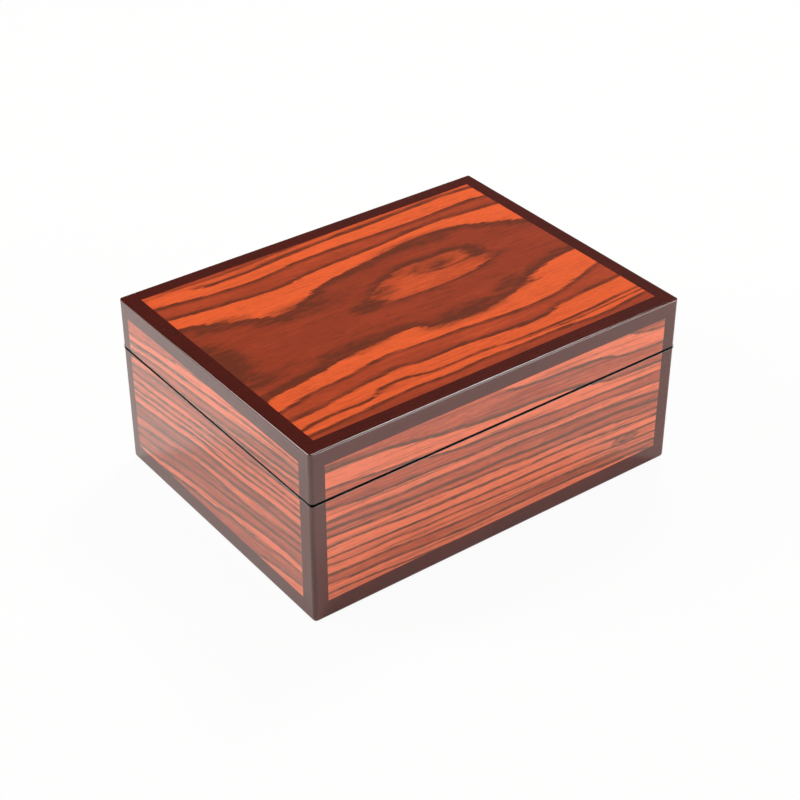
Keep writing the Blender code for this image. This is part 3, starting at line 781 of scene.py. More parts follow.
def make_growth_line_group():
    """One growth line: changes the shade beyond it and lays the dark of the line itself."""
    given, made = new_group("growth line", {
        "Shade": 0.5, "Dark": 0.0, "Along": 0.0, "Across": 0.0, "Streak": 0.5, "Mottle": 0.5,
        "Course": 0.5, "Face Depth": 100.0, "Band Shade": 1.0, "Softness": 0.35, "Line Depth": 0.5,
        "Fade Behind": 1.0, "Fade Before": 1.0, "Start": -20.0, "End": 999.0}, ("Shade", "Dark"))
    past = given["Across"] - given["Course"] * given["Face Depth"]
    beyond = ease(past, given["Softness"] * -1.0, given["Softness"])
    made["Shade"] = (given["Band Shade"] - given["Shade"]) * beyond + given["Shade"]
    before = past / given["Fade Before"]
    behind = past * -1.0 / given["Fade Behind"]
    peak = ease(reckon("MAXIMUM", before, behind), 1.0, 0.0)
    enters = ease(given["Along"], given["Start"], given["Start"] + LINE_EASE)
    leaves = ease(given["Along"], given["End"], given["End"] - LINE_EASE)
    broken = spread(given["Streak"], 0.36, 0.62, 0.45, 1.5) * spread(given["Mottle"], 0.36, 0.62, 0.65, 1.35)
    dark = peak * given["Line Depth"] * (enters * leaves * broken)
    made["Dark"] = reckon("MAXIMUM", given["Dark"], dark)


def make_knot_group():
    """A dark ring or patch on the veneer."""
    given, made = new_group("knot", {
        "Dark": 0.0, "Along": 0.0, "Across": 0.0, "Streak": 0.5, "Mottle": 0.5, "Centre Along": 0.0,
        "Centre Across": 0.0, "Half Length": 5.0, "Half Height": 2.0, "Ring": 0.5, "Fill": 0.5}, ("Dark",))
    along, across = (
        reckon("POWER", (given[word] - given[f"Centre {word}"]) / given[size], 2.0)
        for word, size in (("Along", "Half Length"), ("Across", "Half Height")))
    radius = reckon("SQRT", along + across)
    ring = ease(reckon("ABSOLUTE", radius - 1.0), 0.35, 0.0) * given["Ring"]
    fill = ease(radius, 1.2, 0.2) * given["Fill"]
    broken = spread(given["Streak"], 0.36, 0.6, 0.35, 1.4) * spread(given["Mottle"], 0.36, 0.6, 0.5, 1.3)
    made["Dark"] = reckon("MAXIMUM", given["Dark"], reckon("MAXIMUM", ring, fill) * broken)


def make_veneer_colour_group():
    """The veneer's colour from its shade, the dark of its lines, and its fibres."""
    given, made = new_group("veneer colour", {
        "Shade": 0.5, "Dark": 0.0, "Streak": 0.5, "Fine Lines": 0.0, "Fine Line Depth": 0.5, "Pores": 0.0,
        "Mottle": 0.5, "Cloud": 0.5, "Light Wood": COLOUR, "Mid Wood": COLOUR, "Deep Wood": COLOUR,
        "Grain Line": COLOUR}, ("Colour",))
    shade = given["Shade"]
    for word, size in (("Streak", 0.95), ("Mottle", 0.6), ("Cloud", 0.7)):
        shade = swing(given[word], size) + shade
    lower = blend_colours(spread(shade, 0.08, 0.5), given["Deep Wood"], given["Mid Wood"])
    upper = blend_colours(spread(shade, 0.5, 0.98), lower, given["Light Wood"])
    marks = given["Fine Lines"] * given["Fine Line Depth"] + given["Pores"] * 0.34
    smudge = spread(given["Mottle"], 0.49, 0.67) * spread(shade, 0.1, 0.8, 0.65, 0.12)
    dark = reckon("ADD", given["Dark"] + marks, smudge, use_clamp=True)
    made["Colour"] = blend_colours(dark, upper, given["Grain Line"])


def make_lacquer_group():
    """The faint unevenness of a polished lacquer."""
    given, made = new_group("lacquer skin", {
        "Position": (0, 0, 0), "Wave Scale": 45.0, "Wave Height": 0.0000015}, ("Normal",))
    wave = noise(given["Position"], 1.0, 0.4, given["Wave Scale"])[0]
    made["Normal"] = bump(wave, given["Wave Height"])


def make_nap_group():
    """Brushed nap of soft cloth or felt: cloudy shade, fine fibres and their relief."""
    given, made = new_group("cloth nap", {
        "Position": (0, 0, 0), "Colour": COLOUR, "Brushing": 0.3, "Fibre Scale": 2600.0,
        "Relief": 0.00012}, ("Colour", "Normal"))
    cloud = noise(given["Position"], 3.0, 0.55, 38.0)[0]
    fibre = noise(given["Position"], 3.0, 0.7, given["Fibre Scale"])[0]
    made["Colour"] = given["Colour"] * (swing(cloud, given["Brushing"]) + swing(fibre, 0.5) + 1.0)
    made["Normal"] = bump(fibre, given["Relief"], 0.8)


def make_rubbed_metal_group():
    """Metal rubbed along its length, with dull patches."""
    given, made = new_group("rubbed metal", {
        "Position": (0, 0, 0), "Bright": COLOUR, "Dull": COLOUR, "Scratch Height": 0.000004},
        ("Colour", "Roughness", "Normal"))
    scratch = noise(given["Position"] * (400.0, 9000.0, 9000.0), 2.0, 0.6)[0]
    patch = noise(given["Position"], 4.0, 0.6, 260.0)[0]
    made["Colour"] = blend_colours(spread(patch, 0.48, 0.66), given["Bright"], given["Dull"])
    made["Roughness"] = spread(patch, 0.3, 0.7, 0.2, 0.4) + scratch * 0.08
    made["Normal"] = bump(scratch, given["Scratch Height"], 0.6)


# Materials

def new_material(name):
    """Starts a material. Returns the coordinates of the piece that it lies on, from its tree."""
    material = bpy.data.materials.new(name)
    material.use_nodes = True
    material.node_tree.nodes.clear()
    return Node(material.node_tree, "ShaderNodeTexCoord")["Object"]


def end_material(shader):
    Node(shader.tree, "ShaderNodeOutputMaterial", {"Surface": shader})


def principled(tree, inputs):
    end_material(Node(tree, "ShaderNodeBsdfPrincipled", inputs)["BSDF"])


def opaque(colour_value):
    return (*colour_value, 1.0)


def lacquer(position, colour_signal, finishes):
    """Clear polished lacquer over a colour."""
    wave = use_group(position.tree, "lacquer skin", {"Position": position})
    principled(position.tree, {
        "Base Color": colour_signal, "Normal": wave["Normal"], "Roughness": 0.6, "Specular IOR Level": 0.05,
        "Coat Weight": 1.0, "Coat Roughness": finishes.lacquer_gloss, "Coat IOR": 1.65})


def course_share(along, face, course):
    """A growth line's place across the face, as a share of it, at the place along the face."""
    curve = Node(along.tree, "ShaderNodeFloatCurve", {"Value": along})
    mapping = curve.node.mapping
    mapping.use_clip = False
    points = mapping.curves[0].points
    places = [(far / face.run, deep / face.depth) for far, deep in course]
    points[0].location = places[0]
    points[1].location = places[-1]
    for place in places[1:-1]:
        points.new(*place)
    mapping.update()
    return curve[0]


def make_veneer_material(name, finishes):
    """One face's veneer: its growth lines one after another from the back or the top, then its knots."""
    face = FACES[name]
    position = new_material(f"veneer_{name}")
    tree = position.tree
    along_start, across_start = face.starts()
    place = use_group(tree, "face place", {
        "Position": position, "Along Direction": face.along, "Across Direction": face.across,
        "Along Start": along_start, "Across Start": across_start})
    fibres = use_group(tree, "wood fibres", {
        "Along": place["Along"], "Across": place["Across"], "Layer": face.layer, "Slope": face.slope,
        "Reach": face.reach, "Waver": face.waver, "Short Reach": face.short_reach,
        "Short Waver": face.short_waver})
    grain = {"Streak": fibres["Streak"], "Mottle": fibres["Mottle"]}
    drift = {"Along": fibres["Drift Along"], "Across": fibres["Drift Across"], **grain}
    along_share = drift["Along"] / face.run
    shade, dark = 0.45, 0.0
    for growth in FIGURES[name]:
        line = use_group(tree, "growth line", {
            **drift, "Shade": shade, "Dark": dark, "Course": course_share(along_share, face, growth.course),
            "Face Depth": face.depth, "Band Shade": growth.band, "Softness": growth.soft,
            "Line Depth": growth.depth * face.darkness, "Fade Behind": growth.behind * face.widening,
            "Fade Before": growth.before * face.widening, "Start": growth.start, "End": growth.end})
        shade, dark = line["Shade"], line["Dark"]
    for knot in FIGURE_KNOTS[name]:
        dark = use_group(tree, "knot", {
            **drift, "Dark": dark, "Centre Along": knot.along, "Centre Across": knot.across,
            "Half Length": knot.half_length, "Half Height": knot.half_height,
            "Ring": knot.ring, "Fill": knot.fill})["Dark"]
    side = "" if name == "top" else "side_"
    tints = {"Light Wood": f"{side}light_wood", "Mid Wood": f"{side}mid_wood", "Deep Wood": "deep_wood",
             "Grain Line": f"{side}grain_line"}
    colours = use_group(tree, "veneer colour", {
        **grain, "Shade": shade, "Dark": dark, "Fine Lines": fibres["Fine Lines"],
        "Fine Line Depth": face.fine_lines, "Pores": fibres["Pores"], "Cloud": fibres["Cloud"],
        **{label: opaque(getattr(finishes, tint)) for label, tint in tints.items()}})
    lacquer(position, colours["Colour"], finishes)


def make_border_material(finishes):
    """Dark stained wood under clear lacquer, its fine grain level all round the box."""
    position = new_material("dark_lacquer_wood")
    level = noise(position * (40.0, 40.0, 1500.0), 3.0, 0.6)[0]
    grain = noise(position * (40.0, 1500.0, 40.0), 3.0, 0.6)[0]
    tone = spread(level + grain, 0.85, 1.15)
    lacquer(position, blend_colours(tone, opaque(finishes.border), opaque(finishes.border_grain)), finishes)


def make_seam_shade_rim_material(finishes):
    """Black under the lacquer, painted shade that makes the seam read as a black line, a little worn to
    brown.
    """
    position = new_material("black_rim")
    wear = spread(noise(position, 4.0, 0.65, 180.0)[0], 0.5, 0.75, 0.0, 0.3)
    lacquer(position, blend_colours(wear, opaque(finishes.rim), opaque(finishes.border)), finishes)


def make_cloth_material(name, colour_value, brushing, fibre_scale, relief, sheen):
    position = new_material(name)
    nap = use_group(position.tree, "cloth nap", {
        "Position": position, "Colour": opaque(colour_value), "Brushing": brushing,
        "Fibre Scale": fibre_scale, "Relief": relief})
    principled(position.tree, {
        "Base Color": nap["Colour"], "Normal": nap["Normal"], "Roughness": 0.95,
        "Specular IOR Level": 0.2, "Sheen Weight": sheen, "Sheen Roughness": 0.45})


def make_brass_material(finishes):
    position = new_material("brass")
    metal = use_group(position.tree, "rubbed metal", {
        "Position": position, "Bright": opaque(finishes.brass), "Dull": opaque(finishes.tarnish)})
    principled(position.tree, {"Base Color": metal["Colour"], "Roughness": metal["Roughness"],
                               "Normal": metal["Normal"], "Metallic": 1.0})


def make_finishes(finishes):
    """Builds every shader group and material once."""
    if "veneer_top" in bpy.data.materials:
        return
    for make_group in (make_face_place_group, make_fibres_group, make_growth_line_group, make_knot_group,
                       make_veneer_colour_group, make_lacquer_group, make_nap_group,
                       make_rubbed_metal_group):
        make_group()
    for name in FACES:
        make_veneer_material(name, finishes)
    make_border_material(finishes)
    make_seam_shade_rim_material(finishes)
    make_cloth_material("lining_suede", finishes.lining, 0.28, 2600.0, 0.00008, 0.35)
    make_cloth_material("felt_cloth", finishes.felt, 0.3, 1700.0, 0.00015, 0.2)
    make_brass_material(finishes)


# Wooden pieces

def outer_form(part, shapes):
    """The full outer shape of the case or the lid, solid, with its corners and arrises rounded."""
    if part == "case":
        low, high = BASE_LOW, Vector((BASE_HIGH.x, BASE_HIGH.y, CASE_RIM))
        top, foot = shapes.seam_arris, shapes.foot_arris
    else:
        low, high = Vector((TOP_LOW.x, TOP_LOW.y, LID_RIM)), TOP_HIGH
        top, foot = shapes.top_arris, shapes.seam_arris
    form = block(f"{part}_form", low, high)
    weights = form.data.attributes.new("bevel_weight_edge", "FLOAT", "EDGE")
    middle = (low.z + high.z) / 2
    for edge in form.data.edges:
        first, second = (form.data.vertices[index].co.z for index in edge.vertices)
        radius = shapes.corner if abs(first - second) > NEAR else top if first > middle else foot
        weights.data[edge.index].value = radius / shapes.corner
    round_edges(form, shapes.corner, 8, by_weight=True)
    return settle(form)


def hollow_form(part, shapes):
    """The cutter for a half's inside, flared at the rim to ease the rim's inner edge."""
    half = HALVES[part]
    across, along = LENGTH / 2 - WALL, WIDTH / 2 - WALL
    radius = shapes.rim_arris
    sections = [(half.floor, across, along)]
    for step in range(RIM_STEPS + 1):
        angle = math.pi / 2 * step / RIM_STEPS
        out = radius * (1 - math.cos(angle))
        height = half.rim - half.facing * radius * (1 - math.sin(angle))
        sections.append((height, across + out, along + out))
    sections.append((half.rim + half.facing * OVERRUN, across + out, along + out))
    return stacked(f"{part}_hollow", sections)


def run_past_seam(half, low, high):
    """Takes a cutter's corners out past its half's rim."""
    if half.facing > 0:
        high.z = half.rim + OVERRUN
    else:
        low.z = half.rim - OVERRUN


def hinge_beds(part, shapes):
    """The cutters for the hinge leaves' beds in a half's back wall."""
    half = HALVES[part]
    gap = Vector((shapes.bed_gap,) * 3)
    beds = []
    for side in HINGE_SIDES:
        low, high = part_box(f"hinge_{side}_{half.leaf}_leaf")
        low, high = low - gap, high + gap
        high.y += OVERRUN
        run_past_seam(half, low, high)
        beds.append(block(f"{part}_{side}_bed", low, high))
    return beds


def field_block(part, name):
    """A veneer field's block, run out past the face that it lies in and past the seam."""
    low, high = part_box(f"{part}_{name}_veneer")
    axis = {"top": 2, "front": 1, "back": 1}.get(name, 0)
    if name in ("front", "left"):
        low[axis] -= OVERRUN
    else:
        high[axis] += OVERRUN
    if name != "top":
        run_past_seam(HALVES[part], low, high)
    return block(f"{part}_{name}_field", low, high)


def blacken_rim_for_seam_shade(piece, rim, arris):
    """Turns a piece's flat edge at the seam black, and the arris beside it, as painted shade of the seam
    gap.
    """
    piece.data.materials.append(bpy.data.materials["black_rim"])
    # Painted shade: faces at the seam take the black material
    for polygon in piece.data.polygons:
        if abs(polygon.center.z - rim) < arris:
            polygon.material_index = 1


def make_half(part, shapes):
    """A half's lacquered shell, and its veneer fields cut from the very same outer form."""
    half = HALVES[part]
    form = outer_form(part, shapes)
    beds = hinge_beds(part, shapes)
    hollow = hollow_form(part, shapes)
    names = SIDE_NAMES if part == "case" else (*SIDE_NAMES, "top")
    fields = {name: field_block(part, name) for name in names}
    for name, field in fields.items():
        veneer = add_object(f"{part}_{name}_veneer_face", form.data.copy())
        combine(veneer, field, "INTERSECT")
        if name == "back":
            for bed in beds:
                combine(veneer, bed, "DIFFERENCE")
        even_shading(settle(veneer))
        deliver(veneer, part, "veneer", f"veneer_{name}", f"{part}_{name}_veneer")
        blacken_rim_for_seam_shade(veneer, half.rim, shapes.seam_arris)
    shell = add_object(f"{part}_lacquered_shell", form.data.copy())
    for cutter in (hollow, *beds, *fields.values()):
        combine(shell, cutter, "DIFFERENCE")
    even_shading(settle(shell))
    walls = [f"{part}_{name}_wall" for name in SIDE_NAMES]
    deliver(shell, part, "dark_lacquer", "dark_lacquer_wood", half.board, *walls)
    blacken_rim_for_seam_shade(shell, half.rim, shapes.rim_arris)
    discard(form, hollow, *beds, *fields.values())


# Cloth-covered pieces

def end_tree(made, geometry, material):
    """Makes all that a tree has grown real, and gives it its material."""
    real = Node(made.tree, "GeometryNodeRealizeInstances", {0: geometry})
    dressed = Node(made.tree, "GeometryNodeSetMaterial", {"Geometry": real[0], "Material": material})
    made["Geometry"] = dressed[0]


def make_board_tree():
    """A rounded slab with its cloth face on +Z, crowned and faintly uneven."""
    given, made = new_group("cloth covered board", {
        "Size": (0.1, 0.05, 0.002), "Rounding": 0.0005, "Crown": 0.0, "Unevenness": 0.0, "Seed": 0.0,
        "Evenness": 0.0, "Columns": 41, "Rows": 25, "Layers": 7, "Cloth": MATERIAL},
        ("Geometry",), "GeometryNodeTree")
    tree = given.tree
    cube = Node(tree, "GeometryNodeMeshCube", {
        "Size": (2.0, 2.0, 2.0), "Vertices X": given["Columns"], "Vertices Y": given["Rows"],
        "Vertices Z": given["Layers"]})
    place = Node(tree, "GeometryNodeInputPosition")[0]
    crowded = reckon("SINE", place * ((math.pi / 2,) * 3))
    spaced = Node(tree, "ShaderNodeMix", {0: given["Evenness"], 4: crowded, 5: place},
                  data_type="VECTOR")[1]
    half = given["Size"] * (0.5, 0.5, 0.5)
    full = spaced * half
    inner = half - given["Rounding"]
    kept = reckon("MINIMUM", reckon("MAXIMUM", full, inner * (-1.0, -1.0, -1.0)), inner)
    rounded = kept + reckon("NORMALIZE", full - kept) * given["Rounding"]
    parts = Node(tree, "ShaderNodeSeparateXYZ", {0: spaced})
    falls = [1.0 - reckon("POWER", reckon("ABSOLUTE", parts[axis]), 4.0) for axis in (0, 1)]
    field = falls[0] * falls[1] * reckon("MAXIMUM", parts[2], 0.0)
    ripple = Node(tree, "ShaderNodeTexNoise", {
        "Vector": rounded, "W": given["Seed"], "Scale": 55.0, "Detail": 2.0}, noise_dimensions="4D")[0]
    swell_up = (swing(ripple, given["Unevenness"]) + given["Crown"]) * field
    moved = Node(tree, "GeometryNodeSetPosition", {
        "Geometry": cube[0], "Position": rounded + join_xyz(0.0, 0.0, swell_up)})
    smooth = Node(tree, "GeometryNodeSetShadeSmooth", {"Geometry": moved[0]})
    end_tree(made, smooth[0], given["Cloth"])


def grow(name, mesh, tree_name, inputs):
    """A piece grown by a node tree and settled into a plain mesh."""
    obj = add_object(name, mesh)
    step = obj.modifiers.new("grown", "NODES")
    step.node_group = bpy.data.node_groups[tree_name]
    for item in step.node_group.interface.items_tree:
        if item.in_out == "INPUT" and item.name in inputs:
            step[item.identifier] = inputs[item.name]
    return settle(obj)


def grow_slab(node, ending, cloth, inputs):
    """A cloth-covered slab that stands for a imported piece."""
    inputs["Cloth"] = bpy.data.materials[cloth]
    return grow(f"{node}_{ending}", bpy.data.meshes.new(node), "cloth covered board", inputs)


def upright(side_name):
    """The turn that stands a board's cloth face towards the box's inside, its length level."""
    faces = {"front": (0, 1, 0), "back": (0, -1, 0), "left": (1, 0, 0), "right": (-1, 0, 0)}
    facing = Vector(faces[side_name])
    up = Vector((0, 0, 1))
    return Matrix((up.cross(facing), up, facing)).transposed()


def make_lining_board(part, side_name, number, shapes):
    """One lining board, its cloth rolled over the edges and a little crowned on the face."""
    node = f"{part}_{side_name}_lining"
    low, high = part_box(node)
    turn = upright(side_name)
    across, tall, deep = (abs(size) for size in turn.transposed() @ (high - low))
    board = grow_slab(node, "board", "lining_suede", {
        "Size": (across, tall, deep - shapes.board_crown), "Rounding": shapes.board_round,
        "Crown": shapes.board_crown, "Unevenness": shapes.board_uneven, "Seed": 1.7 * number,
        "Columns": 57, "Rows": 29, "Layers": 7})
    middle = (low + high) / 2 - turn @ Vector((0, 0, shapes.board_crown / 2))
    board.data.transform(Matrix.Translation(middle) @ turn.to_4x4())
    deliver(board, part, "lining_cloth", "lining_suede", node)


def swell(pad, shapes):
    """Lets the pad's cloth swell over its foam, held down all over its back."""
    start = [vertex.co.copy() for vertex in pad.data.vertices]
    back = min(place.z for place in start)
    held = pad.vertex_groups.new(name="held")
    held.add([number for number, place in enumerate(start) if place.z < back + NEAR], 1.0, "REPLACE")
    cloth = pad.modifiers.new("cloth", "CLOTH")
    for name, value in PAD_CLOTH.items():
        setattr(cloth.settings, name, value)
    cloth.settings.use_pressure = True
    cloth.settings.uniform_pressure_force = shapes.pad_press
    cloth.settings.vertex_group_mass = held.name
    cloth.settings.effector_weights.gravity = 0
    cloth.collision_settings.use_collision = False
    cloth.point_cache.frame_start = 1
    cloth.point_cache.frame_end = SWELL_FRAMES
    for number in range(1, SWELL_FRAMES + 1):
        bpy.context.scene.frame_set(number)
    settle(pad)
    bpy.context.scene.frame_set(1)
    for vertex, place in zip(pad.data.vertices, start):
        moved = vertex.co - place
        if moved.length > NEAR:
            reach = shapes.pad_swell * (1 - math.exp(-moved.length / shapes.pad_swell))
            vertex.co = place + moved * (reach / moved.length)


def make_pad(part, shapes):
    """A foam pad under suede: a rounded slab that swells, then is smoothed."""
    half = HALVES[part]
    low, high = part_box(half.pad)
    size = high - low - Vector((shapes.pad_shy,) * 3)
    pad = grow_slab(half.pad, "cushion", "lining_suede", {
        "Size": tuple(size), "Rounding": shapes.pad_round, "Crown": shapes.pad_crown,
        "Unevenness": shapes.pad_uneven, "Seed": half.pad_seed, "Evenness": 1.0, "Columns": 73, "Rows": 53,
        "Layers": 5})
    swell(pad, shapes)
    smoother = pad.modifiers.new("smoother", "SUBSURF")
    smoother.levels = 1
    smoother.render_levels = 1
    settle(pad)
    pad.data.shade_smooth()
    middle = (low + high) / 2
    middle.z = (low.z if half.facing > 0 else high.z) + half.facing * size.z / 2
    pad.data.transform(Matrix.Translation(middle) @ Matrix.Rotation(half.turn, 4, "X"))
    deliver(pad, part, "lining_cloth", "lining_suede", half.pad)


def make_felt(shapes):
    """The felt sheet glued under the case."""
    node = "case_underside_felt"
    low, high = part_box(node)
    felt = grow_slab(node, "sheet", "felt_cloth", {
        "Size": tuple(high - low), "Rounding": shapes.felt_round, "Columns": 41, "Rows": 33, "Layers": 5})
    felt.data.transform(Matrix.Translation((low + high) / 2))
    deliver(felt, "case", "felt", "felt_cloth", node)


# Hinges

def round_bar(name, end_shape, start, end, sides=40):
    """A round bar on the hinges' axis, both ends shaped by (radius, how far in from the end)."""
    profile = [(radius, start + inset) for radius, inset in end_shape]
    profile += [(radius, end - inset) for radius, inset in reversed(end_shape)]
    return turned(name, profile, (0.0, HINGE_AXIS.y, HINGE_AXIS.z), sides)


def leaf_plate(name, half, low, high, shapes):
    """A leaf's plate with its stop slope behind the pin, as one block with eased edges."""
    front = low.y - HINGE_AXIS.y
    face = (LID_RIM - CASE_RIM) / 2
    back = HINGE_AXIS.z - low.z if half.facing > 0 else high.z - HINGE_AXIS.z
    slope = math.tan(STOP_ANGLE / 2)
    outline = [(front, face), (front, back),
               (back / slope - STOP_PLAY, back), (face / slope - STOP_PLAY, face)]
    plate = skin(name, [[(x, HINGE_AXIS.y + out, HINGE_AXIS.z - half.facing * deep) for out, deep in outline]
                        for x in (low.x, high.x)])
    round_edges(plate, shapes.brass_arris, 2)
    return plate


def hinge_spans(half, low, high, gap):
    """Where a leaf's own knuckles lie along the pin, and where it is cut back for the other's."""
    middle = (low.x + high.x) / 2
    quarter = (high.x - low.x) / 4
    cut = quarter + gap / 2
    if half.facing > 0:
        return ([(low.x, middle - quarter - gap), (middle + quarter + gap, high.x)],
                [(middle - cut, middle + cut)])
    return ([(middle - quarter, middle + quarter)],
            [(low.x - OVERRUN, middle - cut), (middle + cut, high.x + OVERRUN)])


def screw_hole(half, node):
    """The cutter for a screw's countersunk hole in a leaf."""
    low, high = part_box(node)
    wide = (high.y - low.y) / 2 + HOLE_PLAY
    hole = turned("hole", [(0.0, -OVERRUN), (wide, -OVERRUN), (wide, HEAD_EDGE),
                           (wide / 2, HEAD_EDGE + wide / 2), (wide / 2, HOLE_DEPTH), (0.0, HOLE_DEPTH)])
    middle = (low + high) / 2
    stand = Matrix.Rotation(math.radians(90.0 * half.facing), 4, "Y")
    hole.data.transform(Matrix.Translation((middle.x, middle.y, half.rim)) @ stand)
    return hole


def make_leaf(side, part, shapes):
    """One brass leaf with its knuckles, the bore for the pin and two countersunk holes."""
    half = HALVES[part]
    node = f"hinge_{side}_{half.leaf}_leaf"
    low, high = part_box(node)
    pin_low, pin_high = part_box(f"hinge_{side}_pin")
    plate = leaf_plate(f"{node}_brass", half, low, high, shapes)
    radius = high.z - HINGE_AXIS.z if half.facing > 0 else HINGE_AXIS.z - low.z
    arris = shapes.brass_arris
    eased = arris * ARRIS_MIDDLE
    knuckle_end = [(0, 0), (radius - arris, 0), (radius - eased, eased), (radius, arris)]
    clearance_end = [(0, 0), (radius + shapes.knuckle_gap, 0)]
    bore_end = [(0, 0), ((pin_high.z - pin_low.z) / 2 + PIN_PLAY, 0)]
    knuckles, clearances = hinge_spans(half, low, high, shapes.knuckle_gap)
    steps = [(round_bar("clearance", clearance_end, *span), "DIFFERENCE") for span in clearances]
    steps += [(round_bar("knuckle", knuckle_end, *span), "UNION") for span in knuckles]
    steps.append((round_bar("bore", bore_end, low.x - OVERRUN, high.x + OVERRUN), "DIFFERENCE"))
    steps += [(screw_hole(half, f"hinge_{side}_{half.leaf}_screw_{number}"), "DIFFERENCE")
              for number in (1, 2)]
    for helper, operation in steps:
        combine(plate, helper, operation)
    close_slits(plate)
    even_shading(settle(plate))
    discard(*(helper for helper, operation in steps))
    deliver(plate, part, "brass", "brass", node)


def make_pin(side):
    """The hinge pin, its ends slightly domed."""
    node = f"hinge_{side}_pin"
    low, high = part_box(node)
    radius = (high.z - low.z) / 2
    pin = round_bar(f"{node}_brass", [(radius * size, inset) for size, inset in PIN_DOME], low.x, high.x, 28)
    even_shading(pin)
    deliver(pin, "case", "brass", "brass", node)


def make_screw_tree():
    """A countersunk screw with a straight slot at each point, turned by chance."""
    given, made = new_group("countersunk screws", {
        "Geometry": GEOMETRY, "Head Radius": 0.002, "Head Edge": HEAD_EDGE, "Shank Radius": 0.001,
        "Shank Length": 0.0068, "Point Length": POINT_LENGTH, "Slot Width": SLOT_WIDTH,
        "Slot Depth": SLOT_DEPTH, "Facing": (0, 0, 0), "Seed": 0, "Metal": MATERIAL},
        ("Geometry",), "GeometryNodeTree")
    tree = given.tree
    head, shank = given["Head Radius"], given["Shank Radius"]
    cones = ((head, head, given["Head Edge"]), (head, shank, head - shank),
             (shank, shank, given["Shank Length"]), (shank, TIP_RADIUS, given["Point Length"]))
    solid = Node(tree, "GeometryNodeMeshBoolean", operation="UNION", solver="EXACT")
    foot = 0.0
    for top, bottom, depth in cones:
        foot = depth + foot
        cone = Node(tree, "GeometryNodeMeshCone", {
            "Vertices": 32, "Radius Top": top, "Radius Bottom": bottom, "Depth": depth})
        lowered = Node(tree, "GeometryNodeTransform", {
            "Geometry": cone[0], "Translation": join_xyz(0.0, 0.0, foot * -1.0)})
        solid["Mesh 2"] = lowered[0]
    slot = Node(tree, "GeometryNodeMeshCube", {
        "Size": join_xyz(head * 3.0, given["Slot Width"], given["Slot Depth"] * 2.0)})
    slotted = Node(tree, "GeometryNodeMeshBoolean", {"Mesh 1": solid[0], "Mesh 2": slot[0]},
                   operation="DIFFERENCE", solver="EXACT")
    turn = Node(tree, "FunctionNodeRandomValue", {2: 0.0, 3: math.pi, "Seed": given["Seed"]},
                data_type="FLOAT")[1]
    set_down = Node(tree, "GeometryNodeInstanceOnPoints", {
        "Points": given["Geometry"], "Instance": slotted[0], "Rotation": given["Facing"]})
    spun = Node(tree, "GeometryNodeRotateInstances", {
        "Instances": set_down[0], "Rotation": join_xyz(0.0, 0.0, turn)})
    end_tree(made, spun[0], given["Metal"])


def make_screws(part, shapes):
    """All the hinge screws of one half, one mesh grown on the points of their heads."""
    half = HALVES[part]
    nodes = [f"hinge_{side}_{half.leaf}_screw_{number}" for side in HINGE_SIDES for number in (1, 2)]
    places = []
    for node in nodes:
        low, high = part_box(node)
        middle = (low + high) / 2
        places.append((middle.x, middle.y, high.z if half.facing > 0 else low.z))
    mesh = bpy.data.meshes.new(f"{part}_hinge_screws")
    mesh.from_pydata(places, [], [])
    radius = (high.y - low.y) / 2
    screws = grow(f"{part}_hinge_screws", mesh, "countersunk screws", {
        "Head Radius": radius, "Shank Radius": radius / 2,
        "Shank Length": high.z - low.z - HEAD_EDGE - radius / 2 - POINT_LENGTH,
        "Facing": (half.turn, 0.0, 0.0), "Seed": shapes.screw_seed + len(part),
        "Metal": bpy.data.materials["brass"]})
    even_shading(screws)
    deliver(screws, part, "brass", "brass", *nodes)


# Stage

def make_floor_material(stage):
    """Pale floor that looks white to the camera and in reflections, and keeps the box's shadow. In
    reflections it also glows more on the box's left than elsewhere, which is painted light.
    """
    position = new_material("studio_floor")
    tree = position.tree
    tone = spread(noise(position, 2.0, 0.5, 3.0)[0], 0.0, 1.0, 0.985, 1.015)
    matt = Node(tree, "ShaderNodeBsdfDiffuse", {"Color": reckon("MULTIPLY", tuple(stage.floor), tone)})
    glow = Node(tree, "ShaderNodeEmission", {"Color": (1, 1, 1, 1), "Strength": 1.0})
    path = Node(tree, "ShaderNodeLightPath")
    mixed = Node(tree, "ShaderNodeMixShader", {
        0: path["Is Camera Ray"] * stage.seen_white, 1: matt[0], 2: glow[0]})
    mirrored = reckon("MAXIMUM", path["Is Glossy Ray"], path["Is Transmission Ray"])
    parts = Node(tree, "ShaderNodeSeparateXYZ", {0: position})
    # Painted light: in reflections the floor glows more on the box's left than elsewhere
    painted_glow_strength = ease(parts["X"] - parts["Y"], -0.01, -0.07, stage.mirrored_front, stage.mirrored_left)
    added = Node(tree, "ShaderNodeEmission", {
        "Color": opaque(stage.mirrored), "Strength": mirrored * painted_glow_strength})
    end_material(Node(tree, "ShaderNodeAddShader", {0: mixed[0], 1: added[0]})[0])


def make_backdrop(stage):
    """A round floor that sweeps up into a low wall far behind the box."""
    profile = [(radius, 0.0) for radius in FLOOR_RINGS]
    for step in range(SWEEP_STEPS + 1):
        angle = math.pi / 2 * step / SWEEP_STEPS
        profile.append((FLOOR_EDGE + FLOOR_SWEEP * math.sin(angle), FLOOR_SWEEP * (1 - math.cos(angle))))
    profile.append((FLOOR_EDGE + FLOOR_SWEEP, BACKDROP_TOP))
    angles = [math.tau * number / BACKDROP_SIDES for number in range(BACKDROP_SIDES)]
    rings = [[(radius * math.cos(angle), radius * math.sin(angle), height) for angle in angles]
             for radius, height in reversed(profile)]
    floor = skin("studio_floor", [*rings, [(0, 0, 0)]], closed=False)
    floor.data.shade_smooth()
    make_floor_material(stage)
    floor.data.materials.append(bpy.data.materials["studio_floor"])


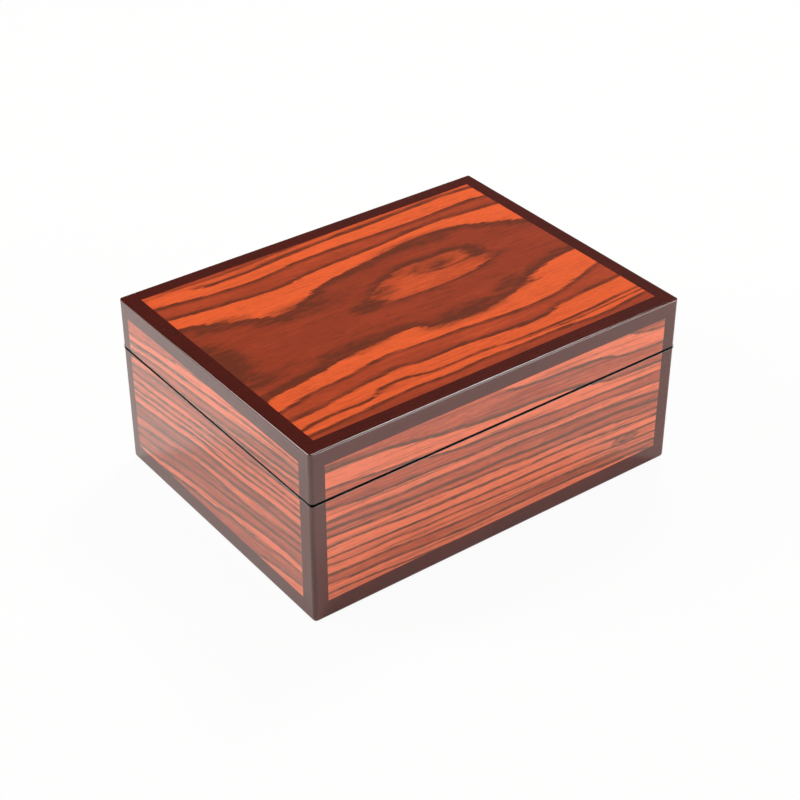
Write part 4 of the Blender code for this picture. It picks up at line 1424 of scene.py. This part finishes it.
def softbox(name, place, size, power):
    """A rectangular lamp turned towards the box."""
    lamp = bpy.data.lights.new(name, "AREA")
    lamp.shape = "RECTANGLE"
    lamp.size, lamp.size_y = size
    lamp.energy = power
    obj = add_object(name, lamp)
    obj.location = place
    obj.rotation_euler = (BOX_MIDDLE - Vector(place)).to_track_quat("-Z", "Y").to_euler()


def make_room(stage):
    """The room's own light: darker upwards, so that the lacquer mirrors no bright ceiling."""
    world = bpy.data.worlds.new("studio_room")
    world.use_nodes = True
    tree = world.node_tree
    tree.nodes.clear()
    direction = Node(tree, "ShaderNodeTexCoord")["Generated"]
    upward = Node(tree, "ShaderNodeSeparateXYZ", {0: direction})["Z"]
    background = Node(tree, "ShaderNodeBackground", {
        "Color": (1.0, 1.0, 1.0, 1.0),
        "Strength": ease(upward, 0.46, 0.66, stage.room_horizon, stage.room)})
    Node(tree, "ShaderNodeOutputWorld", {"Surface": background[0]})
    bpy.context.scene.world = world


def make_stage(stage):
    """Floor, lamps, room and camera."""
    make_backdrop(stage)
    softbox("back_left_softbox", (-1.10, 0.75, 0.84), (0.8, 0.8), stage.back_left)
    softbox("overhead_softbox", (0.62, 0.37, 1.06), (0.3, 0.45), stage.overhead)
    softbox("front_softbox", (0.75, -1.45, 0.48), (1.0, 0.4), stage.front)
    make_room(stage)
    scene = bpy.context.scene
    scene.view_settings.view_transform = "Standard"
    camera = bpy.data.cameras.new("photo_camera")
    camera.lens = CAMERA_LENS
    camera.sensor_width = 36.0
    eye = add_object("photo_camera", camera)
    eye.location = CAMERA_PLACE
    eye.rotation_euler = CAMERA_TURN
    scene.camera = eye


# Operators, panel and registration

class MakeWood(bpy.types.Operator):
    """Make the lacquered shells of the case and the lid with their veneer fields"""

    bl_idname = "keepsake_box.make_wood"
    bl_label = "Shells and Veneers"

    def execute(self, context):
        make_finishes(context.scene.keepsake_finishes)
        for part in HALVES:
            make_half(part, context.scene.keepsake_shapes)
        return {"FINISHED"}


class MakeLinings(bpy.types.Operator):
    """Make the cloth-covered boards inside the walls"""

    bl_idname = "keepsake_box.make_linings"
    bl_label = "Lining Boards"

    def execute(self, context):
        make_finishes(context.scene.keepsake_finishes)
        make_board_tree()
        for part in HALVES:
            for number, side_name in enumerate(SIDE_NAMES):
                make_lining_board(part, side_name, number + len(part), context.scene.keepsake_shapes)
        return {"FINISHED"}


class MakePads(bpy.types.Operator):
    """Make the soft pads on the case's floor and inside the lid"""

    bl_idname = "keepsake_box.make_pads"
    bl_label = "Pads"

    def execute(self, context):
        for part in HALVES:
            make_pad(part, context.scene.keepsake_shapes)
        return {"FINISHED"}


class MakeFelt(bpy.types.Operator):
    """Make the felt under the case"""

    bl_idname = "keepsake_box.make_felt"
    bl_label = "Felt"

    def execute(self, context):
        make_felt(context.scene.keepsake_shapes)
        return {"FINISHED"}


class MakeHinges(bpy.types.Operator):
    """Make the brass hinge leaves and pins"""

    bl_idname = "keepsake_box.make_hinges"
    bl_label = "Hinges"

    def execute(self, context):
        for side in HINGE_SIDES:
            make_pin(side)
            for part in HALVES:
                make_leaf(side, part, context.scene.keepsake_shapes)
        return {"FINISHED"}


class MakeScrews(bpy.types.Operator):
    """Make the countersunk hinge screws"""

    bl_idname = "keepsake_box.make_screws"
    bl_label = "Screws"

    def execute(self, context):
        make_screw_tree()
        for part in HALVES:
            make_screws(part, context.scene.keepsake_shapes)
        return {"FINISHED"}


class MakeStage(bpy.types.Operator):
    """Make the floor, the lamps and the camera"""

    bl_idname = "keepsake_box.make_stage"
    bl_label = "Stage"

    def execute(self, context):
        make_stage(context.scene.keepsake_stage)
        return {"FINISHED"}


OPERATORS = (MakeWood, MakeLinings, MakePads, MakeFelt, MakeHinges, MakeScrews, MakeStage)


class KeepsakePanel(bpy.types.Panel):
    """Lists the box's pieces and their settings"""

    bl_idname = "VIEW3D_PT_keepsake_box"
    bl_label = "Keepsake Box"
    bl_space_type = "VIEW_3D"
    bl_region_type = "UI"
    bl_category = "Keepsake Box"

    def draw(self, context):
        for operator in OPERATORS:
            self.layout.operator(operator.bl_idname)
        for group in SETTINGS:
            settings = getattr(context.scene, group)
            for name in settings.bl_rna.properties.keys():
                if name not in ("rna_type", "name"):
                    self.layout.prop(settings, name)


SETTINGS = {"keepsake_shapes": KeepsakeShapes, "keepsake_finishes": KeepsakeFinishes,
            "keepsake_stage": KeepsakeStage}


def register():
    for kind in (*SETTINGS.values(), *OPERATORS, KeepsakePanel):
        bpy.utils.register_class(kind)
    for name, kind in SETTINGS.items():
        setattr(bpy.types.Scene, name, PointerProperty(type=kind))


def unregister():
    for name in SETTINGS:
        delattr(bpy.types.Scene, name)
    for kind in reversed((*SETTINGS.values(), *OPERATORS, KeepsakePanel)):
        bpy.utils.unregister_class(kind)


def main():
    """Builds the whole dressed box."""
    register()
    bpy.ops.keepsake_box.make_wood()
    bpy.ops.keepsake_box.make_linings()
    bpy.ops.keepsake_box.make_pads()
    bpy.ops.keepsake_box.make_felt()
    bpy.ops.keepsake_box.make_hinges()
    bpy.ops.keepsake_box.make_screws()
    bpy.ops.keepsake_box.make_stage()


if __name__ == "__main__":
    main()
